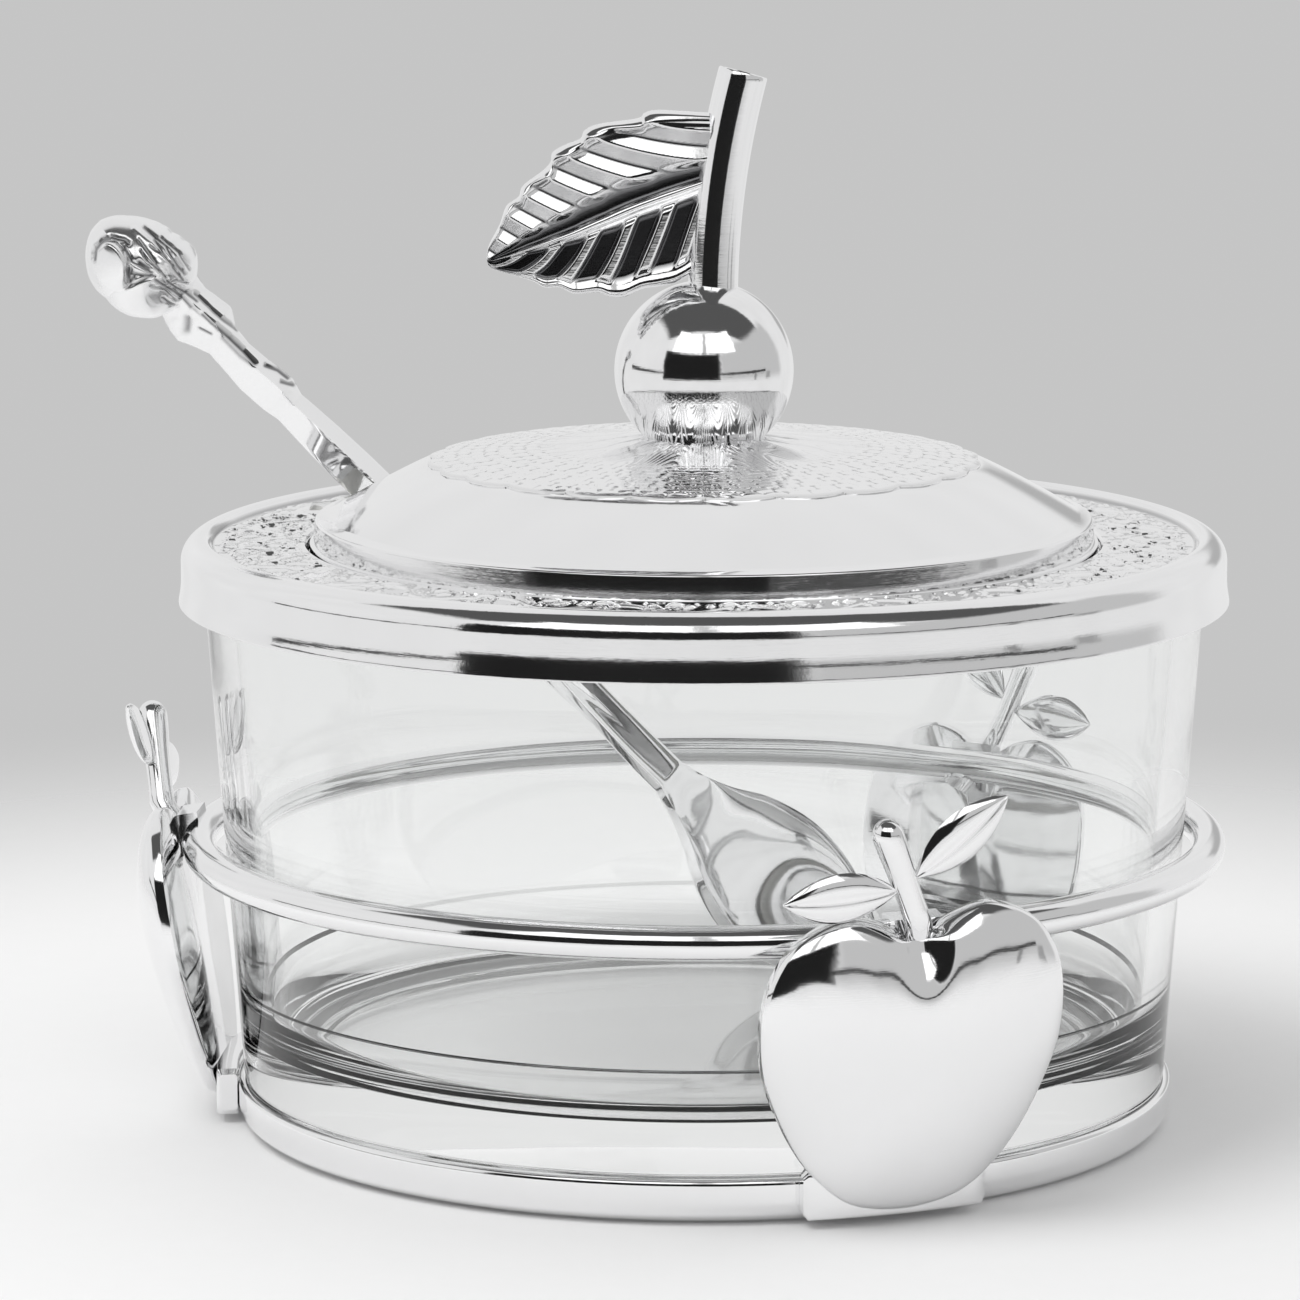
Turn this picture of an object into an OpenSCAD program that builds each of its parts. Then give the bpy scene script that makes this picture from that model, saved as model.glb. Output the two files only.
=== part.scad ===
// Silver honey pot: a clear glass bowl in a wire stand with three cast apples,
// a collar on the glass, a dome lid hinged to the collar, and a spoon in the slot.
// Millimetres, +Z up, origin at the centre of the base ring on the table.
// The front of the pot looks along -Y and the hinge is at the back, at +Y.

/* [Glass bowl] */
// Outer radius of the glass just above its foot
glass_base_r = 50.75; // [46:0.25:53]
// Outer radius of the glass at its rim
glass_rim_r = 54.65; // [53.5:0.05:60]
// Height of the glass from its underside to its rim
glass_h = 59.2; // [54:0.2:70]
// Thickness of the glass wall
glass_wall = 3; // [2:0.1:4]
// Thickness of the glass floor
glass_floor = 8.2; // [6:0.1:10]
// Radius of the corner inside, between the floor and the wall
glass_corner = 4; // [2:0.5:7]
// How far the foot of the glass steps in
foot_step = 1.75; // [1:0.05:3]

/* [Stand] */
// Height of the base ring
base_h = 5; // [4:0.1:8]
// Thickness of the base ring's wall
base_wall = 2.2; // [1.6:0.1:3]
// Thickness of the ledge under the glass
ledge_t = 1.6; // [1:0.1:2.4]
// Width of the ledge under the glass
ledge_w = 5.3; // [3:0.1:9]
// Diameter of the middle ring's wire
wire_d = 3.7; // [2.5:0.1:5]
// Height of the middle ring's wire above the table
wire_z = 30.8; // [26:0.2:36]
// Gap between the middle ring's wire and the glass
wire_gap = 1; // [0.3:0.1:2]
// Thickness of the saddle that holds an apple's foot
saddle_t = 2.4; // [1.8:0.1:4]
// Width of the saddle, as an angle round the base
saddle_angle = 22; // [14:1:30]
// Height of the saddle's top above the table
saddle_h = 6; // [4.5:0.1:9]

/* [Apples] */
// Width of an apple
apple_w = 33.6; // [29:0.2:38]
// Height of an apple without its stalk
apple_h = 33; // [30:0.2:36]
// Greatest thickness of an apple
apple_t = 4.8; // [3.5:0.1:7]
// Thickness of an apple at its edge
apple_edge = 1.3; // [0.8:0.1:2]
// Height of an apple's lowest point above the table
apple_z = 1.9; // [0.8:0.1:3]
// Turn of the first apple from the front, round the bowl
apple_turn = 22; // [0:1:40]
// Turn from each apple to the next
apple_step = 122; // [118:1:122]
// Roll of each apple in its own plane
apple_roll = 2.5; // [-6:0.5:6]
// Thickness of an apple's stalk at its foot
stalk_d = 3.4; // [2.5:0.1:4.5]
// Length of an apple's stalk
stalk_l = 18.4; // [14:0.2:24]
// Lean of an apple's stalk
stalk_lean = 20.5; // [0:0.5:30]
// Length of an apple's leaf
sprig_l = 11.5; // [7:0.5:14]
// Width of an apple's leaf
sprig_w = 3.8; // [2.5:0.1:6]

/* [Collar] */
// How far the collar's skirt stands out past the glass rim
collar_out = 2.35; // [2:0.05:4]
// Thickness of the collar's sheet metal
sheet_t = 1; // [0.8:0.05:1.3]
// Depth of the collar's skirt below the band
skirt_h = 6.2; // [5:0.1:9]
// Height of the rounded bead above the band
bead_h = 0.9; // [0.4:0.1:1.5]
// Width of the rounded bead
bead_w = 2.6; // [2:0.1:3.5]
// Width of the collar's top, from its outer edge in to the mouth that the lid closes
band_w = 13.75; // [13:0.25:17]
// Width of the ledge inside the mouth, which the lid rests on
rest_w = 3.25; // [2.5:0.05:5]
// Depth of that ledge below the band
rest_drop = 1.3; // [1:0.1:2]
// Thickness of the gasket between the glass rim and the collar
gasket_t = 2.2; // [1.6:0.1:3]
// Depth of the gasket's lip inside the glass
gasket_lip = 2; // [1:0.1:4]

/* [Lid] */
// Running clearance between the lid and the mouth, all round
lid_fit = 0.25; // [0.15:0.05:0.5]
// Thickness of the lid's metal
lid_t = 1.2; // [0.8:0.1:1.6]
// Height of the rosette's edge above the collar's band
shoulder_h = 8.6; // [7:0.1:12]
// Rise of the crown from the rosette's edge to the middle
crown_h = 1.9; // [1:0.1:3]
// Height of the upright rim below the lid's shoulder
rim_h = 2.7; // [1.8:0.1:3.5]
// Radius of the petal rosette
rosette_r = 30.2; // [26:0.2:33]
// Thickness of the petal rosette
rosette_t = 0.35; // [0.2:0.05:0.8]
// Number of petals round the rosette
petals = 24; // [12:1:36]

/* [Knob] */
// Radius of the ball
ball_r = 9.75; // [8:0.25:12]
// Thickness of the stem on the ball
stem_d = 5.4; // [4:0.1:7]
// Length of the stem
stem_l = 23.2; // [18:0.2:28]
// Bend of the stem
stem_bend = 14; // [6:1:20]
// Lean of the stem's foot
stem_lean = 1; // [0:1:5]
// How far the stem's foot stands to the side of the ball's middle
stem_off = 1; // [0:0.1:2]
// Thickness of the leaf
leaf_t = 2; // [1.4:0.1:3]
// Radius of the screw that holds the knob
screw_r = 2; // [1.5:0.1:2.5]
// Depth of the screw in the ball
screw_in = 8; // [5:0.5:10]

/* [Hinge] */
// Distance from the lid's edge back to the hinge pin
hinge_back = 4; // [3.8:0.1:5]
// Radius of the knuckles
knuckle_r = 2.2; // [1.8:0.1:2.6]
// Radius of the hinge pin
pin_r = 0.9; // [0.7:0.05:1.1]
// Running clearance round the pin
pin_fit = 0.05; // [0.03:0.01:0.09]
// Width of the whole hinge
hinge_w = 18; // [16:0.5:24]
// Width of the lid's knuckle
lid_knuckle_w = 6.4; // [5:0.2:8]
// Gap between the knuckles
knuckle_gap = 0.2; // [0.15:0.05:0.4]
// Thickness of the hinge leaves
hinge_t = 0.9; // [0.6:0.1:1.2]
// Radius of the rivets' shanks
rivet_r = 0.7; // [0.5:0.05:0.9]

/* [Spoon] */
// Height of the spoon's middle line where it crosses the collar's slot
spoon_z = 66.2; // [65.4:0.1:67]
// Distance of that point to the left of the middle
spoon_x = 37.6; // [36.5:0.1:38.5]
// Distance of that point behind the middle
spoon_y = 25; // [24:0.5:26]
// Slope of the handle from level
spoon_tilt = 44.5; // [44:0.5:46]
// Roll of the bowl about the handle, towards the front
spoon_roll = 45; // [30:1:60]
// Width of the handle
handle_w = 4.6; // [3.8:0.1:5]
// Thickness of the handle
handle_t = 2.8; // [2:0.1:3.4]
// Length of the spoon from the slot to the tip of its bowl
spoon_in = 79; // [74:0.5:79.5]
// Length of the spoon from the slot to the flower on its end
spoon_out = 36; // [32:0.5:42]
// Length of the spoon's bowl
scoop_l = 31; // [28:0.5:38]
// Width of the spoon's bowl
scoop_w = 19; // [16:0.5:22]
// Depth of the spoon's hollow
scoop_depth = 4.6; // [3:0.1:6]
// Thickness of the metal at the spoon's rim
scoop_rim = 0.9; // [0.7:0.1:1.4]
// Radius of the flower on the handle's end
flower_r = 6; // [5:0.1:7]
// Clearance between the handle and its slot
slot_fit = 1; // [0.9:0.1:1.5]

/* [Hidden] */
$fn = 96;

silver = [0.86, 0.87, 0.89];
steel = [0.7, 0.71, 0.73];
clear = [0.8, 0.9, 0.95, 0.4];
milky = [0.93, 0.93, 0.9];

// Small amount by which a cutting shape passes the face it cuts
over = 0.5;

// Glass: it stands on the ledge of the base ring
foot_fit = 0.3;
foot_gap = 0.6;
glass_z = ledge_t;
rim_z = glass_z + glass_h;
step_z = base_h + foot_gap;
foot_r = glass_base_r - foot_step;
floor_z = glass_z + glass_floor;
rim_round = 0.8;
function glass_r(z) = glass_base_r
    + (glass_rim_r - glass_base_r) * (z - step_z) / (rim_z - step_z);

// Stand
base_in = foot_r + foot_fit;
base_out = base_in + base_wall;
wire_r = wire_d / 2;
ring_r = glass_r(wire_z) + wire_gap + wire_r;

// Apples: their flat backs lean from the saddles out to the lugs on the wire
lug_wall = 0.45;
saddle_face = 1.15;
saddle_z = 0.3;
apple_foot_r = base_out + saddle_face;
apple_lean = atan((ring_r + wire_r + lug_wall - apple_foot_r) / (wire_z - apple_z));
lug_w = 6;
lug_h = 4.6;

// Collar: it sits on the gasket, which sits on the glass rim
collar_r = glass_rim_r + collar_out;
mouth_r = collar_r - band_w;
band_z = rim_z + gasket_t + sheet_t;
rest_z = band_z - rest_drop;
bead_in = collar_r - bead_w - 0.9;
gasket_fit = 0.3;
gasket_over = 0.1;
lip_t = 1.1;

// Lid: its edge lies on the ledge in the mouth
lid_r = mouth_r - lid_fit;
edge_h = 0.4;
edge_in = 0.6;
edge_w = 2.2;
corner_r = 1;
crown_slope = -2 * crown_h / rosette_r;
shoulder_z = band_z + shoulder_h;
shoulder_bow = 1.3;
wall_r = lid_r - edge_in;
turn_r = wall_r - corner_r;
turn_z = band_z + rim_h;
steps = 12;
// Height of the lid's outer face at radius r
function crown(r) = shoulder_z + crown_h * (1 - pow(r / rosette_r, 2));
shoulder_w = turn_r - rosette_r;
function shoulder(r) = let (t = (r - rosette_r) / shoulder_w)
    shoulder_z + crown_slope * shoulder_w * t
    - (shoulder_z - turn_z + crown_slope * shoulder_w) * pow(t, shoulder_bow);
// The rounded corner and the upright rim, from the foot up
lid_rim = [[wall_r, band_z + edge_h], [wall_r - 0.15, turn_z - 0.9 * corner_r],
    [wall_r - 0.3, turn_z - 0.55 * corner_r], [wall_r - 0.6, turn_z - 0.25 * corner_r]];
function lid_top(r) = r <= rosette_r ? crown(r) : shoulder(r);
function lid_line(r0, r1, n, lift) =
    [for (i = [0:n]) let (r = r0 + (r1 - r0) * i / n) [r, lid_top(r) + lift]];

// Knob
screw_fit = 0.2;
seat_z = crown(0) + rosette_t;
seat_r = 5.9;
ball_z = seat_z + sqrt(ball_r * ball_r - seat_r * seat_r);
ball_top = ball_z + ball_r;
peg_r = 1.2;
peg_l = 4;
stem_r = stem_d / 2;
bend_r = stem_l / (stem_bend * PI / 180);
washer_r = 5;
washer_t = 0.8;
head_r = 3.6;
head_h = 2.2;
slot_w = 1;
slot_deep = 1;
screw_gap = 0.3;
washer_z = crown(washer_r) - lid_t - washer_t;
// Outline of the leaf, in the plane of the stem, from the top of the ball
leaf_points = [[-23.6, 2.3], [-21.6, 6.9], [-19.2, 10.1], [-16.4, 12.9], [-12.9, 15.3],
    [-9.2, 17], [-5.8, 17.9], [1.4, 17.6], [1.4, 2.6], [-3.2, 0.8], [-5.6, -0.1],
    [-8.4, -0.9], [-11.4, -1.0], [-15, -0.5], [-18.6, 0.2], [-22.2, 1.2]];
rib_foot = [1.2, 12];
rib_tip = [-22.4, 2.8];
rib_sag = [-9.5, 9.3];
rib_r = 0.7;

// Hinge
hinge_lift = 0.4;
hinge_y = lid_r + hinge_back;
hinge_z = band_z + knuckle_r + hinge_lift;
leaf_l = 7;
side_w = (hinge_w - lid_knuckle_w) / 2 - knuckle_gap;
swing_gap = 0.3;
pin_head = 0.5;
head_over = 0.5;
rivet_x = 6;
rivet_y = hinge_y + knuckle_r + 1.9;
rivet_head_r = 1.2;
rivet_head_h = 0.6;
bead_gap = 0.1;
strap_angle = 14;
strap_r = rosette_r + 4.5;

// Spoon: one axis through the slot, along which it is drawn out
spoon_at = [-spoon_x, spoon_y, spoon_z];
slot_half = handle_w / 2 + slot_fit;
slot_in = 6.2;
slot_out = 5.2;
lid_slot_in = 4.6;
bowl_lift = 1.7;

// Smooth curves through a list of points
function knot(a, b, c, d, t) = 0.5 * (2 * b + (c - a) * t
    + (2 * a - 5 * b + 4 * c - d) * t * t + (3 * b - a - 3 * c + d) * t * t * t);
function closed_curve(p, n) = let (m = len(p))
    [for (i = [0:m - 1], k = [0:n - 1])
        knot(p[(i + m - 1) % m], p[i], p[(i + 1) % m], p[(i + 2) % m], k / n)];
function open_curve(p, n) = let (m = len(p))
    concat([for (i = [0:m - 2], k = [0:n - 1])
        knot(p[max(i - 1, 0)], p[i], p[i + 1], p[min(i + 2, m - 1)], k / n)], [p[m - 1]]);
function middle(ring) = [for (c = [0:2]) [for (p = ring) 1] * [for (p = ring) p[c]] / len(ring)];

// A closed skin over a list of rings that have the same number of points
module loft(rings) {
    n = len(rings[0]);
    m = len(rings);
    points = concat([for (ring = rings) for (p = ring) p],
        [middle(rings[0]), middle(rings[m - 1])]);
    sides = [for (i = [0:m - 2], j = [0:n - 1]) let (k = (j + 1) % n)
        each [[i * n + j, (i + 1) * n + k, (i + 1) * n + j], [i * n + j, i * n + k, (i + 1) * n + k]]];
    first = [for (j = [0:n - 1]) [m * n, (j + 1) % n, j]];
    last = [for (j = [0:n - 1]) [m * n + 1, (m - 1) * n + j, (m - 1) * n + (j + 1) % n]];
    polyhedron(points, concat(sides, first, last));
}

// Rings of a rod whose stations are [x, y, z, half width, half thickness], going up z
function rod_rings(stations, n) = [for (s = stations)
    [for (j = [0:n - 1]) let (a = -360 * j / n)
        [s[0] + s[3] * cos(a), s[1] + s[4] * sin(a), s[2]]]];

// Stand
module base_section() {
    round_r = 0.7;
    chamfer = 0.3;
    under = [[-2.6, 0], [-1.1, 0.5], [-0.3, 1.3], [0, 2.2]];
    polygon(concat(
        [[base_in - ledge_w, 0]],
        [for (p = under) [base_out + p[0], p[1]]],
        [for (a = [0:15:90]) [base_out - round_r + round_r * cos(a), base_h - round_r + round_r * sin(a)]],
        [[base_in + chamfer, base_h], [base_in, base_h - chamfer], [base_in, ledge_t],
            [base_in - ledge_w, ledge_t]]));
}

module base_ring() {
    color(silver) rotate_extrude() base_section();
}

module wire(r) {
    translate([0, 0, wire_z]) rotate_extrude($fn = 240) translate([ring_r, 0]) circle(r = r, $fn = 64);
}

module mid_ring() {
    color(silver) wire(wire_r);
}

// Places a child on the leaning back plane of an apple: x along, y out, z up the back
module on_apple(turn) {
    rotate([0, 0, turn]) translate([0, -apple_foot_r, apple_z])
        rotate([apple_lean, 0, 0]) mirror([0, 1, 0]) children();
}

function apple_turn_of(i) = apple_turn + i * apple_step;

// Outline of an apple, as shares of its half width and its height
apple_half = [[0, 0], [0.34, 0.03], [0.575, 0.12], [0.77, 0.255], [0.95, 0.46], [1, 0.61],
    [0.98, 0.755], [0.91, 0.85], [0.79, 0.93], [0.6, 0.985], [0.42, 1], [0.2, 0.965]];
apple_notch = [0, 0.9];
apple_mid = [0, 0.52];
apple_line = closed_curve(concat(apple_half, [apple_notch],
    [for (i = [len(apple_half) - 1:-1:1]) [-apple_half[i][0], apple_half[i][1]]]), 2);
// The dimple under the stalk sinks the relief around this place
dimple_at = [0, 0.88];
dimple_size = 0.1;
dimple_deep = 0.7;
function sunk(q) = 1 - dimple_deep
    * exp(-(pow(q[0] * apple_w / apple_h / 2, 2) + pow(q[1] - dimple_at[1], 2)) / pow(dimple_size, 2));
function apple_ring(share, lift) = [for (p = apple_line)
    let (q = apple_mid + share * (p - apple_mid))
        [q[0] * apple_w / 2, lift > apple_edge ? apple_edge + (lift - apple_edge) * sunk(q) : lift,
            q[1] * apple_h]];

module apple_body() {
    rise = apple_t - apple_edge;
    shares = [1, 0.97, 0.9, 0.78, 0.65, 0.5, 0.33, 0.15];
    loft(concat([apple_ring(0.97, 0), apple_ring(1, 0.4)],
        [for (f = shares) apple_ring(f, apple_edge + rise * pow(1 - pow(f, 2.4), 0.55))]));
}

module sprig() {
    sprig_t = 1;
    loft(rod_rings([for (t = [0.02, 0.12, 0.28, 0.45, 0.62, 0.78, 0.9, 0.98])
        [0, 0, t * sprig_l, max(0.2, sprig_w / 2 * pow(sin(180 * t), 0.8)),
            max(0.2, sprig_t * pow(sin(180 * t), 0.6))]], 12));
}

// Middle of the stalk, at a share of its length
stalk_out = 1.9;
stalk_side = 2;
stalk_foot = 0.8;
function stalk_at(t) = [stalk_side - stalk_l * t * sin(stalk_lean), stalk_out,
    stalk_foot * apple_h + stalk_l * t * cos(stalk_lean)];
function stalk_r(t) = stalk_d / 2 * (1 - 0.22 * t) * (t > 0.99 ? 0.6 : 1);
right_leaf = [0.62, 1.2, 52];
left_leaf = [0.58, -1.2, -94];

module apple(turn) {
    color(silver) on_apple(turn)
        translate([0, 0, apple_h / 2]) rotate([0, -apple_roll, 0]) translate([0, 0, -apple_h / 2]) {
            apple_body();
            loft(rod_rings([for (t = [0, 0.3, 0.6, 0.9, 0.97, 1])
                concat(stalk_at(t), [stalk_r(t), stalk_r(t)])], 14));
            for (leaf = [right_leaf, left_leaf])
                translate(stalk_at(leaf[0]) + [leaf[1], 0, 0]) rotate([0, leaf[2], 0]) sprig();
        }
}

module apple_front() { apple(apple_turn_of(0)); }
module apple_back() { apple(apple_turn_of(1)); }
module apple_left() { apple(apple_turn_of(2)); }

// A block between the base ring and the foot of an apple
module saddle(turn) {
    color(silver) difference() {
        rotate([0, 0, turn - 90 - saddle_angle / 2]) rotate_extrude(angle = saddle_angle)
            translate([base_out, saddle_z]) square([saddle_t, saddle_h - saddle_z]);
        on_apple(turn) translate([-apple_w, 0, -apple_h]) cube([2 * apple_w, apple_h, 2 * apple_h]);
    }
}

module saddle_front() { saddle(apple_turn_of(0)); }
module saddle_back() { saddle(apple_turn_of(1)); }
module saddle_left() { saddle(apple_turn_of(2)); }

// A small clip between the wire and the back of an apple
module lug(turn) {
    up = (wire_z - apple_z) / cos(apple_lean);
    color(silver) difference() {
        on_apple(turn) translate([-lug_w / 2, -wire_r - lug_wall, up - lug_h / 2])
            cube([lug_w, wire_r + lug_wall, lug_h]);
        wire(wire_r);
    }
}

module lug_front() { lug(apple_turn_of(0)); }
module lug_back() { lug(apple_turn_of(1)); }
module lug_left() { lug(apple_turn_of(2)); }

// Glass bowl
module glass_bowl() {
    punt = 1;
    punt_in = 7;
    heel_in = 6;
    shelf = 0.5;
    in_floor = glass_r(floor_z) - glass_wall;
    in_rim = glass_rim_r - glass_wall;
    foot_round = 1;
    color(clear) rotate_extrude($fn = 128) polygon(concat(
        [[0, glass_z + punt], [foot_r - punt_in, glass_z + punt], [foot_r - heel_in, glass_z]],
        [for (a = [-90:15:0]) [foot_r - foot_round + foot_round * cos(a),
            glass_z + foot_round + foot_round * sin(a)]],
        [[foot_r, step_z - shelf], [glass_base_r - shelf, step_z - shelf], [glass_base_r, step_z]],
        [for (a = [0:15:90]) [glass_rim_r - rim_round + rim_round * cos(a),
            rim_z - rim_round + rim_round * sin(a)]],
        [for (a = [90:15:180]) [in_rim + rim_round + rim_round * cos(a),
            rim_z - rim_round + rim_round * sin(a)]],
        [for (a = [0:10:90]) [in_floor - glass_corner + glass_corner * cos(a),
            floor_z + glass_corner - glass_corner * sin(a)]],
        [[0, floor_z]]));
}

// Collar
module collar_section() {
    bead_mid = collar_r - bead_w;
    bead_low = 1.7;
    bead_crest = 0.4;
    crest_z = band_z + 0.7 * bead_h;
    polygon(concat(
        [[collar_r - sheet_t, band_z - skirt_h], [collar_r, band_z - skirt_h]],
        [for (a = [0:15:90])
            [bead_mid + bead_w * cos(a), band_z - bead_low + (bead_h + bead_low) * sin(a)]],
        [[bead_mid - bead_crest, crest_z], [bead_in, band_z], [mouth_r, band_z],
            [mouth_r, rest_z], [mouth_r - rest_w, rest_z], [mouth_r - rest_w, rest_z - sheet_t],
            [mouth_r + sheet_t, rest_z - sheet_t], [mouth_r + sheet_t, band_z - sheet_t],
            [collar_r - sheet_t, band_z - sheet_t]]));
}

// The slot runs straight out to the side, so the lid can swing up past the handle
module spoon_slot(z0, z1, reach) {
    at = spoon_at[0] + (spoon_z - (band_z + rest_z - sheet_t) / 2) / tan(spoon_tilt);
    translate([0, spoon_y, z0]) linear_extrude(z1 - z0) {
        translate([at - slot_out, -slot_half]) square([slot_out + reach - slot_half, 2 * slot_half]);
        translate([at + reach - slot_half, 0]) circle(r = slot_half, $fn = 32);
    }
}

module collar_ring() {
    color(silver) difference() {
        rotate_extrude($fn = 128) collar_section();
        spoon_slot(rest_z - sheet_t - over, band_z + over, slot_in);
        rivet_shanks(band_z - sheet_t - over);
    }
}

module rim_gasket() {
    out = glass_rim_r + gasket_over;
    lip_out = glass_rim_r - glass_wall - gasket_fit;
    in = lip_out - lip_t;
    top = band_z - sheet_t;
    color(milky) rotate_extrude() polygon([[in, rim_z - gasket_lip], [lip_out, rim_z - gasket_lip],
        [lip_out, rim_z], [out, rim_z], [out, top], [in, top]]);
}

// Hinge
module along_x(r, x0, x1) {
    translate([x0, hinge_y, hinge_z]) rotate([0, 90, 0]) cylinder(r = r, h = x1 - x0, $fn = 48);
}

module rivet_shanks(z0) {
    for (side = [-1, 1]) translate([side * rivet_x, rivet_y, z0])
        cylinder(r = rivet_r, h = band_z + hinge_t + over - z0, $fn = 32);
}

module collar_leaf() {
    color(silver) difference() {
        union() {
            for (side = [0, 1]) mirror([side, 0, 0]) {
                along_x(knuckle_r, hinge_w / 2 - side_w, hinge_w / 2);
                translate([hinge_w / 2 - side_w, hinge_y, band_z])
                    cube([side_w, knuckle_r, hinge_z - band_z]);
            }
            translate([-hinge_w / 2, hinge_y + knuckle_r - over, band_z])
                cube([side_w, leaf_l - knuckle_r + over, hinge_t]);
            translate([hinge_w / 2 - side_w, hinge_y + knuckle_r - over, band_z])
                cube([side_w, leaf_l - knuckle_r + over, hinge_t]);
            translate([-hinge_w / 2, hinge_y + knuckle_r + swing_gap, band_z])
                cube([hinge_w, leaf_l - knuckle_r - swing_gap, hinge_t]);
        }
        along_x(pin_r, -hinge_w, hinge_w);
        rivet_shanks(band_z - over);
        translate([0, 0, band_z - over]) difference() {
            cylinder(r = collar_r, h = knuckle_r);
            translate([0, 0, -over]) cylinder(r = bead_in - bead_gap, h = 2 * knuckle_r);
        }
    }
}

module leaf_rivets() {
    under = band_z - sheet_t;
    top = band_z + hinge_t;
    color(steel) for (side = [-1, 1]) translate([side * rivet_x, rivet_y, 0]) {
        translate([0, 0, under]) cylinder(r = rivet_r, h = top - under, $fn = 32);
        translate([0, 0, top])
            cylinder(r1 = rivet_head_r, r2 = rivet_head_r * 0.6, h = rivet_head_h, $fn = 32);
    }
}

module hinge_pin() {
    color(steel) {
        along_x(pin_r, -hinge_w / 2, hinge_w / 2);
        along_x(pin_r + head_over, hinge_w / 2, hinge_w / 2 + pin_head);
        along_x(pin_r + head_over, -hinge_w / 2 - pin_head, -hinge_w / 2);
    }
}

// The lid's outer body down to its edge, filled
module lid_solid() {
    rotate_extrude($fn = 128) polygon(concat([[0, rest_z], [lid_r, rest_z], [lid_r, band_z]],
        lid_rim, lid_line(turn_r, rosette_r, steps, 0), lid_line(rosette_r, 0, steps, 0)));
}

module lid_leaf() {
    arm_in = lid_r - 4;
    strap_in = 0.3;
    color(silver) difference() {
        union() {
            along_x(knuckle_r, -lid_knuckle_w / 2, lid_knuckle_w / 2);
            translate([-lid_knuckle_w / 2, 0, 0]) rotate([90, 0, 90]) linear_extrude(lid_knuckle_w)
                polygon([[hinge_y, hinge_z + knuckle_r], [arm_in, lid_top(arm_in) + hinge_t],
                    [arm_in, band_z], [lid_r - edge_in, band_z + edge_h],
                    [hinge_y - knuckle_r, hinge_z]]);
            rotate([0, 0, 90 - strap_angle / 2]) rotate_extrude(angle = strap_angle, $fn = 128)
                polygon(concat(lid_line(strap_r, turn_r, 8, -strap_in),
                    lid_line(turn_r, strap_r, 8, hinge_t)));
        }
        lid_solid();
        along_x(pin_r + pin_fit, -hinge_w, hinge_w);
    }
}

// Lid
module lid_dome() {
    hole = screw_r + screw_fit;
    color(silver) difference() {
        rotate_extrude($fn = 128) polygon(concat(
            [[lid_r - edge_w, rest_z], [lid_r, rest_z], [lid_r, band_z]],
            lid_rim, lid_line(turn_r, rosette_r, steps, 0), lid_line(rosette_r, hole, steps, 0),
            lid_line(hole, rosette_r, steps, -lid_t), lid_line(rosette_r, lid_r - edge_w, steps, -lid_t)));
        spoon_slot(rest_z - over, shoulder_z, lid_slot_in);
    }
}

module rosette_plate() {
    scallop = PI * rosette_r / petals;
    color(silver) intersection() {
        rotate_extrude($fn = 128) polygon(concat(
            lid_line(screw_r + screw_fit, rosette_r, steps, 0),
            lid_line(rosette_r, screw_r + screw_fit, steps, rosette_t)));
        translate([0, 0, band_z]) linear_extrude(shoulder_h + crown_h + ball_r) {
            circle(r = rosette_r - scallop);
            for (i = [0:petals - 1]) rotate([0, 0, (i + 0.5) * 360 / petals])
                translate([rosette_r - scallop, 0]) circle(r = scallop, $fn = 32);
        }
    }
}

// Knob
module knob_ball() {
    color(silver) difference() {
        translate([0, 0, ball_z]) sphere(r = ball_r);
        translate([0, 0, seat_z - ball_r]) cylinder(r = ball_r, h = ball_r);
        translate([0, 0, seat_z - over]) cylinder(r = screw_r, h = screw_in + over, $fn = 32);
        translate([stem_off, 0, ball_top - peg_l]) cylinder(r = peg_r, h = peg_l + over, $fn = 32);
    }
}

// The stem's bent rod, from inside the ball's top up to its cut end
module stem_rod() {
    translate([stem_off, 0, ball_top - over]) rotate([0, stem_lean, 0])
        translate([bend_r, 0, 0]) mirror([1, 0, 0]) rotate([90, 0, 0])
            rotate_extrude(angle = stem_bend, $fn = 256)
                translate([bend_r, 0]) circle(r = stem_r, $fn = 48);
}

module knob_stem() {
    color(silver) {
        difference() {
            stem_rod();
            translate([0, 0, ball_z]) sphere(r = ball_r);
        }
        translate([stem_off, 0, ball_top - peg_l]) cylinder(r = peg_r, h = peg_l + over, $fn = 32);
    }
}

module knob_leaf() {
    color(silver) difference() {
        translate([0, 0, ball_top]) rotate([90, 0, 0]) {
            linear_extrude(leaf_t, center = true)
                polygon(leaf_points);
            hull() {
                for (p = [rib_foot, rib_sag]) translate(p) sphere(r = leaf_t / 2 + rib_r, $fn = 16);
            }
            hull() {
                translate(rib_sag) sphere(r = leaf_t / 2 + rib_r, $fn = 16);
                translate(rib_tip) sphere(r = leaf_t / 2, $fn = 16);
            }
        }
        stem_rod();
    }
}

module knob_screw() {
    color(steel) difference() {
        union() {
            translate([0, 0, washer_z])
                cylinder(r = screw_r, h = seat_z + screw_in - washer_z - screw_gap, $fn = 32);
            translate([0, 0, washer_z - head_h])
                cylinder(r1 = head_r * 0.8, r2 = head_r, h = head_h, $fn = 48);
        }
        translate([-head_r, -slot_w / 2, washer_z - head_h - over])
            cube([2 * head_r, slot_w, slot_deep + over]);
    }
}

module knob_washer() {
    color(steel) translate([0, 0, washer_z]) difference() {
        cylinder(r = washer_r, h = washer_t, $fn = 48);
        translate([0, 0, -over]) cylinder(r = screw_r + screw_fit, h = washer_t + 2 * over, $fn = 32);
    }
}

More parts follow.
